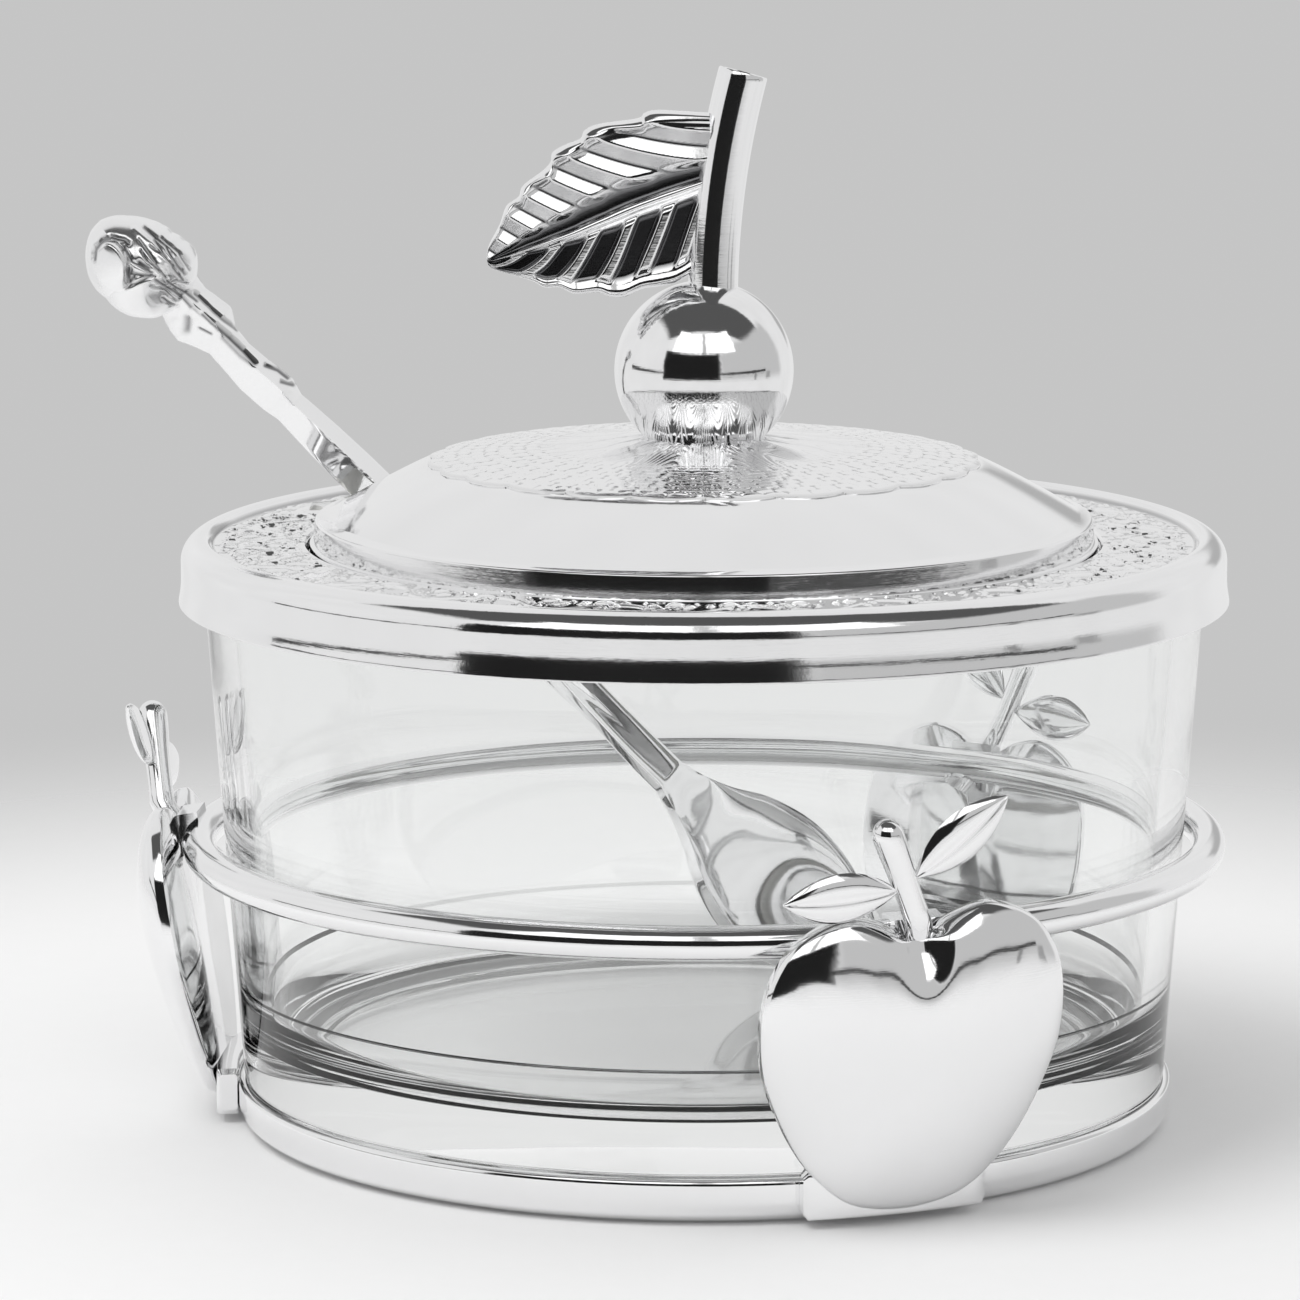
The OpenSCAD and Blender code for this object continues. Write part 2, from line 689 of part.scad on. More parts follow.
// Spoon, drawn along its own length: x across, y up out of the hollow, z from tip to flower
scoop = scoop_l / 37;
spoon_l = spoon_in + spoon_out;
// Stations: distance from the tip, half width, hollow, depth of the back, lift
stations = open_curve([
    [0, scoop_w * 0.04, 0, 0.3, bowl_lift],
    [1.2 * scoop, scoop_w * 0.13, 0.3, 0.8, bowl_lift * 0.9],
    [5 * scoop, scoop_w * 0.3, scoop_depth * 0.4, scoop_depth * 0.5 + 0.5, bowl_lift * 0.6],
    [11 * scoop, scoop_w * 0.45, scoop_depth * 0.82, scoop_depth + 0.3, bowl_lift * 0.3],
    [18 * scoop, scoop_w * 0.5, scoop_depth, scoop_depth + 0.8, 0.2],
    [25 * scoop, scoop_w * 0.41, scoop_depth * 0.75, scoop_depth * 0.85 + 0.8, 0],
    [31 * scoop, scoop_w * 0.24, scoop_depth * 0.3, scoop_depth * 0.5 + 1, 0],
    [scoop_l, handle_w * 0.58, -handle_t * 0.2, handle_t * 0.6, 0],
    [scoop_l + 6, handle_w * 0.5, -handle_t * 0.32, handle_t * 0.45, 0],
    [spoon_in + 7, handle_w * 0.5, -handle_t * 0.32, handle_t * 0.4, 0],
    [spoon_l - 24, handle_w * 0.62, -handle_t * 0.5, handle_t * 0.45, 0],
    [spoon_l - 18, handle_w * 0.66, -handle_t * 0.55, handle_t * 0.5, 0],
    [spoon_l - 12, handle_w * 0.85, -handle_t * 0.8, handle_t * 0.6, 0],
    [spoon_l - 9, handle_w * 0.92, -handle_t * 0.9, handle_t * 0.7, 0],
    [spoon_l - 5, handle_w * 0.75, -handle_t * 0.8, handle_t * 0.7, 0],
    [spoon_l - 1, handle_w * 0.6, -handle_t * 0.6, handle_t * 0.6, 0]], 3);
function spoon_ring(s, n) = concat(
    [for (j = [0:n]) let (a = -90 + 180 * j / n)
        [s[1] * sin(a), s[4] + scoop_rim / 2 - s[2] * cos(a), s[0]]],
    [for (j = [0:n]) let (a = 90 - 180 * j / n)
        [s[1] * sin(a), s[4] - scoop_rim / 2 - s[3] * cos(a), s[0]]]);

module flower() {
    petal = 0.07;
    loft([for (t = [-75, -50, -25, 0, 25, 50, 72]) let (r = flower_r * cos(t))
        [for (j = [0:23]) let (a = -15 * j, q = r * (1 + petal * cos(5 * a)))
            [q * cos(a), q * sin(a), flower_r * sin(t)]]]);
}

module spoon() {
    color(silver) translate(spoon_at) rotate([0, -(90 - spoon_tilt), 0]) rotate([0, 0, -(90 + spoon_roll)])
        translate([0, 0, -spoon_in]) {
            loft([for (s = stations) spoon_ring(s, 8)]);
            translate([0, 0, spoon_l]) flower();
        }
}

base_ring();
mid_ring();
apple_front();
apple_back();
apple_left();
saddle_front();
saddle_back();
saddle_left();
lug_front();
lug_back();
lug_left();
glass_bowl();
collar_ring();
rim_gasket();
collar_leaf();
leaf_rivets();
hinge_pin();
lid_dome();
rosette_plate();
lid_leaf();
knob_ball();
knob_stem();
knob_leaf();
knob_screw();
knob_washer();
spoon();
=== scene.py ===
"""Silver honey pot with a hinged lid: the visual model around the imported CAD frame.

Sizes are in millimetres, in the frame of the CAD, and become metres when a mesh is made.
The front of the pot looks along -Y and the hinge is at the back.
"""
import logging
import math
from dataclasses import dataclass, field
from enum import Enum
from typing import Callable, Sequence, Union

import bmesh
import bpy
import numpy as np
from mathutils import Matrix, Vector


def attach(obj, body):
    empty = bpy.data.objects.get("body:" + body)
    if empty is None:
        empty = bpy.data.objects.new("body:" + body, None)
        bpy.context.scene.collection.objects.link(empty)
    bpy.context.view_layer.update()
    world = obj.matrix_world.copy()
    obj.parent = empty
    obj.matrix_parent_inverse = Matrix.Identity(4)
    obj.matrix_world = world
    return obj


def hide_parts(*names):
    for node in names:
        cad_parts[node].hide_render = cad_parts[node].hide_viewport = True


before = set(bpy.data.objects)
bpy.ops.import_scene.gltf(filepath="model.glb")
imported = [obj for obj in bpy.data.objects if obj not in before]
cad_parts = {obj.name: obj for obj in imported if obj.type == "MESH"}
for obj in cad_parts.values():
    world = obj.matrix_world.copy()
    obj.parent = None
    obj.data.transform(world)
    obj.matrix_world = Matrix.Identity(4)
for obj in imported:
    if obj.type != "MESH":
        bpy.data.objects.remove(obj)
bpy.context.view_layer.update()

MM = 0.001
LOG = logging.getLogger("honey_pot")

Pair = tuple[float, float]
Triple = tuple[float, float, float]


class Slot(Enum):
    """The record's material slots."""

    STAND = "stand_silver"
    GLASS = "clear_glass"
    COLLAR = "collar_silver"
    LID = "lid_silver"
    KNOB = "knob_silver"
    SPOON = "spoon_silver"
    SEAL = "seal_rubber"
    STEEL = "fastener_steel"


class Body(Enum):
    """The record's bodies."""

    STAND = "stand"
    GLASS = "glass"
    COLLAR = "collar"
    LID = "lid"
    SPOON = "spoon"


# ---------------------------------------------------------------- shader maths


class Wave:
    """An output socket that can be used in sums and products."""

    def __init__(self, graph: "Graph", socket: bpy.types.NodeSocket) -> None:
        """Wraps one socket of a graph."""
        self.graph = graph
        self.socket = socket

    def __add__(self, other: "Term") -> "Wave":
        """self + other."""
        return self.graph.math("ADD", self, other)

    def __radd__(self, other: "Term") -> "Wave":
        """other + self."""
        return self.graph.math("ADD", other, self)

    def __sub__(self, other: "Term") -> "Wave":
        """self - other."""
        return self.graph.math("SUBTRACT", self, other)

    def __rsub__(self, other: "Term") -> "Wave":
        """other - self."""
        return self.graph.math("SUBTRACT", other, self)

    def __mul__(self, other: "Term") -> "Wave":
        """self * other."""
        return self.graph.math("MULTIPLY", self, other)

    def __rmul__(self, other: "Term") -> "Wave":
        """other * self."""
        return self.graph.math("MULTIPLY", other, self)

    def __truediv__(self, other: "Term") -> "Wave":
        """self / other."""
        return self.graph.math("DIVIDE", self, other)

    def __pow__(self, other: "Term") -> "Wave":
        """self ** other."""
        return self.graph.math("POWER", self, other)


Term = Union[Wave, float]


class Graph:
    """A node tree with short calls for adding and joining nodes."""

    def __init__(self, tree: bpy.types.NodeTree) -> None:
        """Takes an emptied node tree."""
        self.tree = tree
        tree.nodes.clear()

    def add(
        self, kind: str, settings: dict = {}, inputs: dict = {}, output: Union[int, str] = 0
    ) -> Wave:
        """Adds a node, sets it up and joins its inputs.

        Args:
            kind: Type of the node.
            settings: Attributes of the node, set before the inputs.
            inputs: Values or waves by the name or number of the input.
            output: Name or number of the output that is wanted.

        Returns:
            That output.
        """
        node = self.tree.nodes.new(kind)
        for key, value in settings.items():
            setattr(node, key, value)
        for key, value in inputs.items():
            self.join(value, node.inputs[key])
        return Wave(self, node.outputs[output])

    def end(self, kind: str, shader: Wave) -> None:
        """Adds the output node and gives it the shader."""
        self.join(shader, self.tree.nodes.new(kind).inputs["Surface"])

    def join(self, value: Union[Term, Sequence[float]], socket: bpy.types.NodeSocket) -> None:
        """Links a wave to a socket, or sets the socket to a constant."""
        if isinstance(value, Wave):
            self.tree.links.new(value.socket, socket)
        else:
            socket.default_value = value

    def math(self, kind: str, *terms: Term) -> Wave:
        """A Math node of that kind over one to three terms."""
        return self.add("ShaderNodeMath", {"operation": kind}, dict(enumerate(terms)))

    def ramp(self, value: Term, low: float, high: float, to: Pair = (0.0, 1.0)) -> Wave:
        """A smooth step of value between low and high, from to[0] to to[1]."""
        return self.add(
            "ShaderNodeMapRange",
            {"interpolation_type": "SMOOTHSTEP"},
            {0: value, 1: low, 2: high, 3: to[0], 4: to[1]},
        )

    def band(self, value: Term, low: float, high: float, soft: float) -> Wave:
        """1 where value is between low and high, with soft edges of that width."""
        rise = self.ramp(value, low - soft / 2, low + soft / 2)
        return rise * self.ramp(value, high - soft / 2, high + soft / 2, (1.0, 0.0))

    def mix(self, factor: Term, low: Union[Wave, Triple], high: Union[Wave, Triple]) -> Wave:
        """A colour between low and high."""
        low, high = (c if isinstance(c, Wave) else (*c, 1.0) for c in (low, high))
        return self.add(
            "ShaderNodeMix", {"data_type": "RGBA"}, {0: factor, 6: low, 7: high}, 2
        )

    def noise(self, where: Wave, scale: float, detail: float = 2.0) -> Wave:
        """Noise from 0 to 1 at that scale in 1/m."""
        return self.add(
            "ShaderNodeTexNoise", {}, {"Vector": where, "Scale": scale, "Detail": detail}
        )

    def stretched(self, where: Wave, scale: Triple) -> Wave:
        """A place with each coordinate multiplied."""
        return self.add("ShaderNodeVectorMath", {"operation": "MULTIPLY"}, {0: where, 1: scale})

    def bump(self, height: Wave, strength: float, distance: float) -> Wave:
        """A normal from a height."""
        return self.add(
            "ShaderNodeBump",
            {},
            {"Height": height, "Strength": strength, "Distance": distance},
        )


def new_material(name: str) -> tuple[bpy.types.Material, Graph]:
    """An empty material and its graph."""
    material = bpy.data.materials.new(name)
    material.use_nodes = True
    return material, Graph(material.node_tree)


# Name of the point attribute that carries how much painted shade lies in the recesses.
RECESS_SHADE = "recess_shade"


@dataclass(frozen=True)
class Silver:
    """Polished silver plate, with haze, faint scratches, and painted shade that darkens its recesses."""

    name: str
    colour: Triple = (0.93, 0.93, 0.935)
    roughness: float = 0.05
    haze: float = 0.06
    ripple: float = 0.15
    # Colour of the painted shade in the recesses.
    recess_shade: Triple = (0.12, 0.12, 0.125)

    def build(self) -> bpy.types.Material:
        """Makes the material."""
        material, g = new_material(self.name)
        where = g.add("ShaderNodeTexCoord", output="Object")
        cloud = g.noise(where, 90.0, 3.0)
        fine = g.noise(where, 1400.0, 2.0)
        scratch = g.noise(g.stretched(where, (300.0, 300.0, 6000.0)), 1.0, 2.0)
        # Painted shade: the base colour goes towards the shade colour where the mesh marks it, and the surface
        # gets rougher there.
        shade_mask = g.add("ShaderNodeAttribute", {"attribute_name": RECESS_SHADE}, {}, "Fac")
        polish = self.roughness + cloud * self.haze + shade_mask * 0.12
        height = cloud * 0.6 + fine * 0.1 + scratch * 0.06
        tint = g.mix(cloud, self.colour, tuple(c * 0.97 for c in self.colour))
        shader = g.add(
            "ShaderNodeBsdfPrincipled",
            {},
            {
                "Base Color": g.mix(shade_mask, tint, self.recess_shade),
                "Metallic": 1.0,
                "Roughness": polish,
                "Normal": g.bump(height, self.ripple, 0.0002),
            },
        )
        g.end("ShaderNodeOutputMaterial", shader)
        return material


@dataclass(frozen=True)
class Steel:
    """Brushed steel of the fasteners."""

    name: str
    colour: Triple = (0.62, 0.62, 0.63)
    roughness: float = 0.28

    def build(self) -> bpy.types.Material:
        """Makes the material."""
        material, g = new_material(self.name)
        where = g.add("ShaderNodeTexCoord", output="Object")
        brush = g.noise(g.stretched(where, (6000.0, 500.0, 500.0)), 1.0, 3.0)
        shader = g.add(
            "ShaderNodeBsdfPrincipled",
            {},
            {
                "Base Color": g.mix(brush, self.colour, tuple(c * 0.9 for c in self.colour)),
                "Metallic": 1.0,
                "Roughness": self.roughness + brush * 0.12,
                "Normal": g.bump(brush, 0.2, 0.00005),
            },
        )
        g.end("ShaderNodeOutputMaterial", shader)
        return material


@dataclass(frozen=True)
class Glass:
    """Clear pressed glass with faint waves."""

    name: str
    colour: Triple = (0.985, 0.99, 0.988)
    ior: float = 1.47

    def build(self) -> bpy.types.Material:
        """Makes the material."""
        material, g = new_material(self.name)
        where = g.add("ShaderNodeTexCoord", output="Object")
        wave = g.noise(g.stretched(where, (25.0, 25.0, 55.0)), 1.0, 1.0)
        shader = g.add(
            "ShaderNodeBsdfPrincipled",
            {},
            {
                "Base Color": (*self.colour, 1.0),
                "Roughness": 0.0,
                "IOR": self.ior,
                "Transmission Weight": 1.0,
                "Normal": g.bump(wave, 0.25, 0.0006),
            },
        )
        g.end("ShaderNodeOutputMaterial", shader)
        return material


@dataclass(frozen=True)
class Rubber:
    """Milky silicone of the gasket."""

    name: str
    colour: Triple = (0.82, 0.82, 0.79)

    def build(self) -> bpy.types.Material:
        """Makes the material."""
        material, g = new_material(self.name)
        where = g.add("ShaderNodeTexCoord", output="Object")
        grain = g.noise(where, 2500.0, 2.0)
        shader = g.add(
            "ShaderNodeBsdfPrincipled",
            {},
            {
                "Base Color": g.mix(grain, self.colour, tuple(c * 0.94 for c in self.colour)),
                "Roughness": 0.45 + grain * 0.15,
                "Subsurface Weight": 0.3,
                "Subsurface Radius": (0.001, 0.001, 0.001),
                "Normal": g.bump(grain, 0.3, 0.00005),
            },
        )
        g.end("ShaderNodeOutputMaterial", shader)
        return material


@dataclass(frozen=True)
class Board:
    """The pale matt floor of the studio, which fades into the backdrop. Under the glass it glows a little,
    painted light in place of the light that the glass lets through.
    """

    name: str
    colour: Triple = (0.87, 0.87, 0.87)
    fade: Pair = (0.1, 0.26)
    # Painted light: how strongly the floor glows under the glass, and over which radii in metres the glow
    # fades out.
    glow: float = 0.16
    glow_r: Pair = (0.043, 0.051)

    def build(self) -> bpy.types.Material:
        """Makes the material."""
        material, g = new_material(self.name)
        where = g.add("ShaderNodeTexCoord", output="Object")
        grain = g.noise(where, 300.0, 3.0)
        radius = g.add("ShaderNodeVectorMath", {"operation": "LENGTH"}, {0: where}, "Value")
        # Where the floor's painted glow lies.
        under = g.ramp(radius, self.glow_r[0], self.glow_r[1], (1.0, 0.0))
        shader = g.add(
            "ShaderNodeBsdfPrincipled",
            {},
            {
                "Base Color": g.mix(grain, self.colour, tuple(c * 0.985 for c in self.colour)),
                "Roughness": 0.8,
                "Specular IOR Level": 0.1,
                "Alpha": g.ramp(radius, self.fade[0], self.fade[1], (1.0, 0.0)),
                "Emission Color": g.mix(under, (0.0,) * 3, (self.glow,) * 3),
                "Emission Strength": 1.0,
            },
        )
        g.end("ShaderNodeOutputMaterial", shader)
        return material


# ---------------------------------------------------------------- mesh helpers


@dataclass
class Mesh:
    """Points in millimetres, faces over them, and how much painted shade each point carries."""

    points: np.ndarray
    faces: list
    recess_shade: Union[np.ndarray, None] = None

    def moved(self, matrix: Matrix) -> "Mesh":
        """The same mesh with its points moved by a matrix."""
        m = np.array(matrix)
        return Mesh(self.points @ m[:3, :3].T + m[:3, 3], self.faces, self.recess_shade)

    def joined(self, *others: "Mesh") -> "Mesh":
        """This mesh and others as one."""
        points, faces, shade_mask, start = [], [], [], 0
        for part in (self, *others):
            points.append(part.points)
            faces += [[i + start for i in f] for f in part.faces]
            shade_mask.append(np.zeros(len(part.points)) if part.recess_shade is None else part.recess_shade)
            start += len(part.points)
        return Mesh(np.concatenate(points), faces, np.concatenate(shade_mask))

    def build(self, name: str, sharp: float = 38.0) -> bpy.types.Object:
        """Makes a Blender object of it, with its normals outward.

        Args:
            name: Name of the object.
            sharp: Angle in degrees over which an edge stays sharp.

        Returns:
            The object.
        """
        data = bpy.data.meshes.new(name)
        data.from_pydata((self.points * MM).tolist(), [], self.faces)
        if self.recess_shade is not None:
            layer = data.attributes.new(RECESS_SHADE, "FLOAT", "POINT")
            layer.data.foreach_set("value", np.clip(self.recess_shade, 0, 1).astype(np.float32))
        work = bmesh.new()
        work.from_mesh(data)
        bmesh.ops.recalc_face_normals(work, faces=work.faces)
        work.to_mesh(data)
        work.free()
        data.shade_smooth()
        data.set_sharp_from_angle(angle=math.radians(sharp))
        made = bpy.data.objects.new(name, data)
        bpy.context.scene.collection.objects.link(made)
        return made


def net(rows: int, columns: int, wrap_rows: bool = False, wrap_columns: bool = True) -> list:
    """Quads over a grid of rows and columns, joined end to end where asked."""
    faces = []
    for i in range(rows if wrap_rows else rows - 1):
        k = (i + 1) % rows
        for j in range(columns if wrap_columns else columns - 1):
            n = (j + 1) % columns
            faces.append([i * columns + j, i * columns + n, k * columns + n, k * columns + j])
    return faces


def lathe(
    profile: Sequence[Pair],
    segments: int = 256,
    relief: Union[Callable, None] = None,
) -> Mesh:
    """Turns a closed profile round the Z axis.

    Args:
        profile: Points (radius, height). One that starts and ends on the axis closes there.
        segments: Number of steps round the axis.
        relief: Takes arrays of radius and angle and each row's number, and gives the lift
        along Z and the painted shade.

    Returns:
        The closed mesh.
    """
    line = np.array(profile, float)
    polar = line[0][0] < 1e-6
    ring = line[1:-1] if polar else line
    angle = np.arange(segments) * 2 * math.pi / segments
    r = np.repeat(ring[:, 0], segments)
    a = np.tile(angle, len(ring))
    z = np.repeat(ring[:, 1], segments)
    shade_mask = np.zeros(len(z))
    if relief:
        lift, shade_mask = relief(r, a, np.repeat(np.arange(len(ring)), segments))
        z = z + lift
    points = np.stack([r * np.cos(a), r * np.sin(a), z], 1)
    faces = net(len(ring), segments, wrap_rows=not polar)
    if polar:
        first, last = len(points), len(points) + 1
        points = np.concatenate([points, [[0, 0, line[0][1]], [0, 0, line[-1][1]]]])
        shade_mask = np.concatenate([shade_mask, [0, 0]])
        base = (len(ring) - 1) * segments
        for j in range(segments):
            n = (j + 1) % segments
            faces += [[first, n, j], [last, base + j, base + n]]
    return Mesh(points, faces, shade_mask)


def loft(rings: np.ndarray, recess_shade: Union[np.ndarray, None] = None) -> Mesh:
    """A closed skin over rings of points, with a fan at each end."""
    rows, columns = rings.shape[:2]
    points = rings.reshape(-1, 3)
    ends = np.stack([rings[0].mean(0), rings[-1].mean(0)])
    faces = net(rows, columns)
    for j in range(columns):
        n = (j + 1) % columns
        faces.append([rows * columns, n, j])
        faces.append([rows * columns + 1, (rows - 1) * columns + j, (rows - 1) * columns + n])
    shade_mask = np.zeros(rows * columns) if recess_shade is None else recess_shade.reshape(-1)
    return Mesh(np.concatenate([points, ends]), faces, np.concatenate([shade_mask, [0, 0]]))


def curve(points: Sequence[Sequence[float]], steps: int, closed: bool = False) -> np.ndarray:
    """A smooth curve through points, with that many steps from each to the next."""
    p = np.array(points, float)
    m = len(p)
    out = []
    for i in range(m if closed else m - 1):
        if closed:
            a, b, c, d = p[i - 1], p[i], p[(i + 1) % m], p[(i + 2) % m]
        else:
            a, b, c, d = p[max(i - 1, 0)], p[i], p[i + 1], p[min(i + 2, m - 1)]
        for k in range(steps):
            t = k / steps
            out.append(
                0.5 * (2 * b + (c - a) * t + (2 * a - 5 * b + 4 * c - d) * t * t
                       + (3 * b - a - 3 * c + d) * t ** 3)
            )
    if not closed:
        out.append(p[-1])
    return np.array(out)


def arc(centre: Pair, radius: Pair, start: float, end: float, steps: int) -> list[Pair]:
    """Points of a circle or ellipse about a centre, from one angle to another in degrees."""
    turns = np.radians(np.linspace(start, end, steps + 1))
    return [
        (centre[0] + radius[0] * math.cos(t), centre[1] + radius[1] * math.sin(t)) for t in turns
    ]


def rounded(line: Sequence[Pair], radius: float, steps: int = 4, closed: bool = True) -> list[Pair]:
    """A profile with its corners cut to small arcs of about that radius."""
    p = [np.array(q, float) for q in line]
    out: list[Pair] = []
    for i, q in enumerate(p):
        if not closed and i in (0, len(p) - 1):
            out.append(tuple(q))
            continue
        before, after = p[i - 1], p[(i + 1) % len(p)]
        u, v = before - q, after - q
        reach = min(radius, np.linalg.norm(u) * 0.45, np.linalg.norm(v) * 0.45)
        a = q + u / np.linalg.norm(u) * reach
        b = q + v / np.linalg.norm(v) * reach
        for k in range(steps + 1):
            t = k / steps
            out.append(tuple((1 - t) ** 2 * a + 2 * t * (1 - t) * q + t * t * b))
    return out


def smooth(x: np.ndarray, low: float, high: float) -> np.ndarray:
    """A smooth step from 0 at low to 1 at high."""
    t = np.clip((x - low) / (high - low), 0, 1)
    return t * t * (3 - 2 * t)


def turned(degrees: float, axis: str) -> Matrix:
    """A turn about an axis."""
    return Matrix.Rotation(math.radians(degrees), 4, axis)


def cut(target: bpy.types.Object, tool: bpy.types.Object) -> None:
    """Takes a tool's volume out of a target for good and removes the tool."""
    modifier = target.modifiers.new("cut", "BOOLEAN")
    modifier.operation = "DIFFERENCE"
    modifier.solver = "EXACT"
    modifier.object = tool
    graph = bpy.context.evaluated_depsgraph_get()
    data = bpy.data.meshes.new_from_object(target.evaluated_get(graph))
    target.modifiers.clear()
    old = target.data
    target.data = data
    bpy.data.meshes.remove(old)
    bpy.data.objects.remove(tool)
    data.shade_smooth()
    data.set_sharp_from_angle(angle=math.radians(38.0))


class Workshop:
    """Holds the finishes and puts each piece on its body, slot and node."""

    def __init__(self) -> None:
        """Makes every finish once."""
        self.finish = {
            Slot.STAND: Silver("polished_silver_stand").build(),
            Slot.GLASS: Glass("pressed_clear_glass").build(),
            Slot.COLLAR: Silver("polished_silver_collar", haze=0.08, ripple=0.25).build(),
            Slot.LID: Silver("polished_silver_lid").build(),
            Slot.KNOB: Silver("polished_silver_knob", ripple=0.22).build(),
            Slot.SPOON: Silver("polished_silver_spoon").build(),
            Slot.SEAL: Rubber("milky_silicone").build(),
            Slot.STEEL: Steel("brushed_steel_fastener").build(),
        }
        self.satin = Silver("satin_silver_rose", roughness=0.2, haze=0.03, ripple=0.1).build()

    def place(
        self, made: bpy.types.Object, body: Body, slot: Slot, nodes: Sequence[str] = ()
    ) -> bpy.types.Object:
        """Finishes a piece and says which body it rides on and which nodes it stands for.

        Args:
            made: The piece.
            body: The body that it moves with.
            slot: The slot that it takes its finish from.
            nodes: CAD nodes that it replaces.

        Returns:
            The piece.
        """
        made.data.materials.clear()
        made.data.materials.append(self.finish[slot])
        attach(made, body.value)
        if nodes:
            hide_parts(*nodes)
        LOG.info("%s: %d faces on %s", made.name, len(made.data.polygons), body.value)
        return made

    def keep(self, node: str, slot: Slot, edge: float = 0.15) -> None:
        """Leaves a CAD node showing, with softened edges and a finish.

        Args:
            node: Name of the node.
            slot: The slot that it takes its finish from.
            edge: Width of the softened edges in millimetres.
        """
        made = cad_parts[node]
        made.data.materials.clear()
        made.data.materials.append(self.finish[slot])
        if edge:
            weld = made.modifiers.new("weld", "WELD")
            weld.merge_threshold = 1e-6
            bevel = made.modifiers.new("soft_edge", "BEVEL")
            bevel.width = edge * MM
            bevel.segments = 2
            bevel.limit_method = "ANGLE"
            bevel.angle_limit = math.radians(35)
        LOG.info("%s: kept from the CAD", node)


# ---------------------------------------------------------------- sub-assemblies


@dataclass
class Stand:
    """The base ring, the wire ring, and what joins the apples to them."""

    base_in: float = 49.3
    base_out: float = 51.5
    base_h: float = 5.0
    ledge_t: float = 1.6
    ledge_w: float = 5.3
    wire_r: float = 1.85
    wire_z: float = 30.8
    ring_r: float = 55.38
    saddle_r: Pair = (51.35, 53.85)
    saddle_z: Pair = (1.0, 6.1)
    saddle_w: float = 22.0

    def base(self) -> Mesh:
        """The base ring with its rounded foot and top."""
        out, top = self.base_out, self.base_h
        line = [
            (self.base_in - self.ledge_w, 0.0), (out - 2.6, 0.0), (out - 1.1, 0.5),
            (out - 0.3, 1.3), (out, 2.2), (out, top), (self.base_in, top),
            (self.base_in, self.ledge_t), (self.base_in - self.ledge_w, self.ledge_t),
        ]
        return lathe(rounded(line, 0.7, 6), 320)

    def wire(self) -> Mesh:
        """The wire ring round the glass."""
        return lathe(arc((self.ring_r, self.wire_z), (self.wire_r,) * 2, 0, 348.75, 31), 320)

    def saddle(self, turn: float) -> Mesh:
        """The rounded plate that carries an apple's foot, at an angle round the ring."""
        inner, outer = self.saddle_r
        low, high = self.saddle_z
        edge = [(inner, low), (outer, low), (outer, high), (inner, high)]
        edge = np.array(rounded(edge, 0.45, 4))
        middle = edge.mean(0)
        rings = []
        for share in np.concatenate([[-1, -0.985], np.linspace(-0.95, 0.95, 17), [0.985, 1]]):
            a = math.radians(turn - 90 + share * self.saddle_w / 2)
            r = middle + (edge - middle) * (1 - 0.22 * float(smooth(np.array(abs(share)), 0.955, 1.0)))
            rings.append(np.column_stack([r[:, 0] * math.cos(a), r[:, 0] * math.sin(a), r[:, 1]]))
        return loft(np.array(rings))

    def build(self, shop: Workshop) -> None:
        """Builds and places the stand."""
        shop.place(self.base().build("base_band"), Body.STAND, Slot.STAND, ["base_ring"])
        shop.place(self.wire().build("wire_band"), Body.STAND, Slot.STAND, ["mid_ring"])
        for side, turn in (("front", 22.0), ("back", 144.0), ("left", 266.0)):
            made = self.saddle(turn).build(f"saddle_{side}_plate", 40)
            shop.place(made, Body.STAND, Slot.STAND, [f"saddle_{side}"])
            shop.keep(f"lug_{side}", Slot.STAND, 0.2)


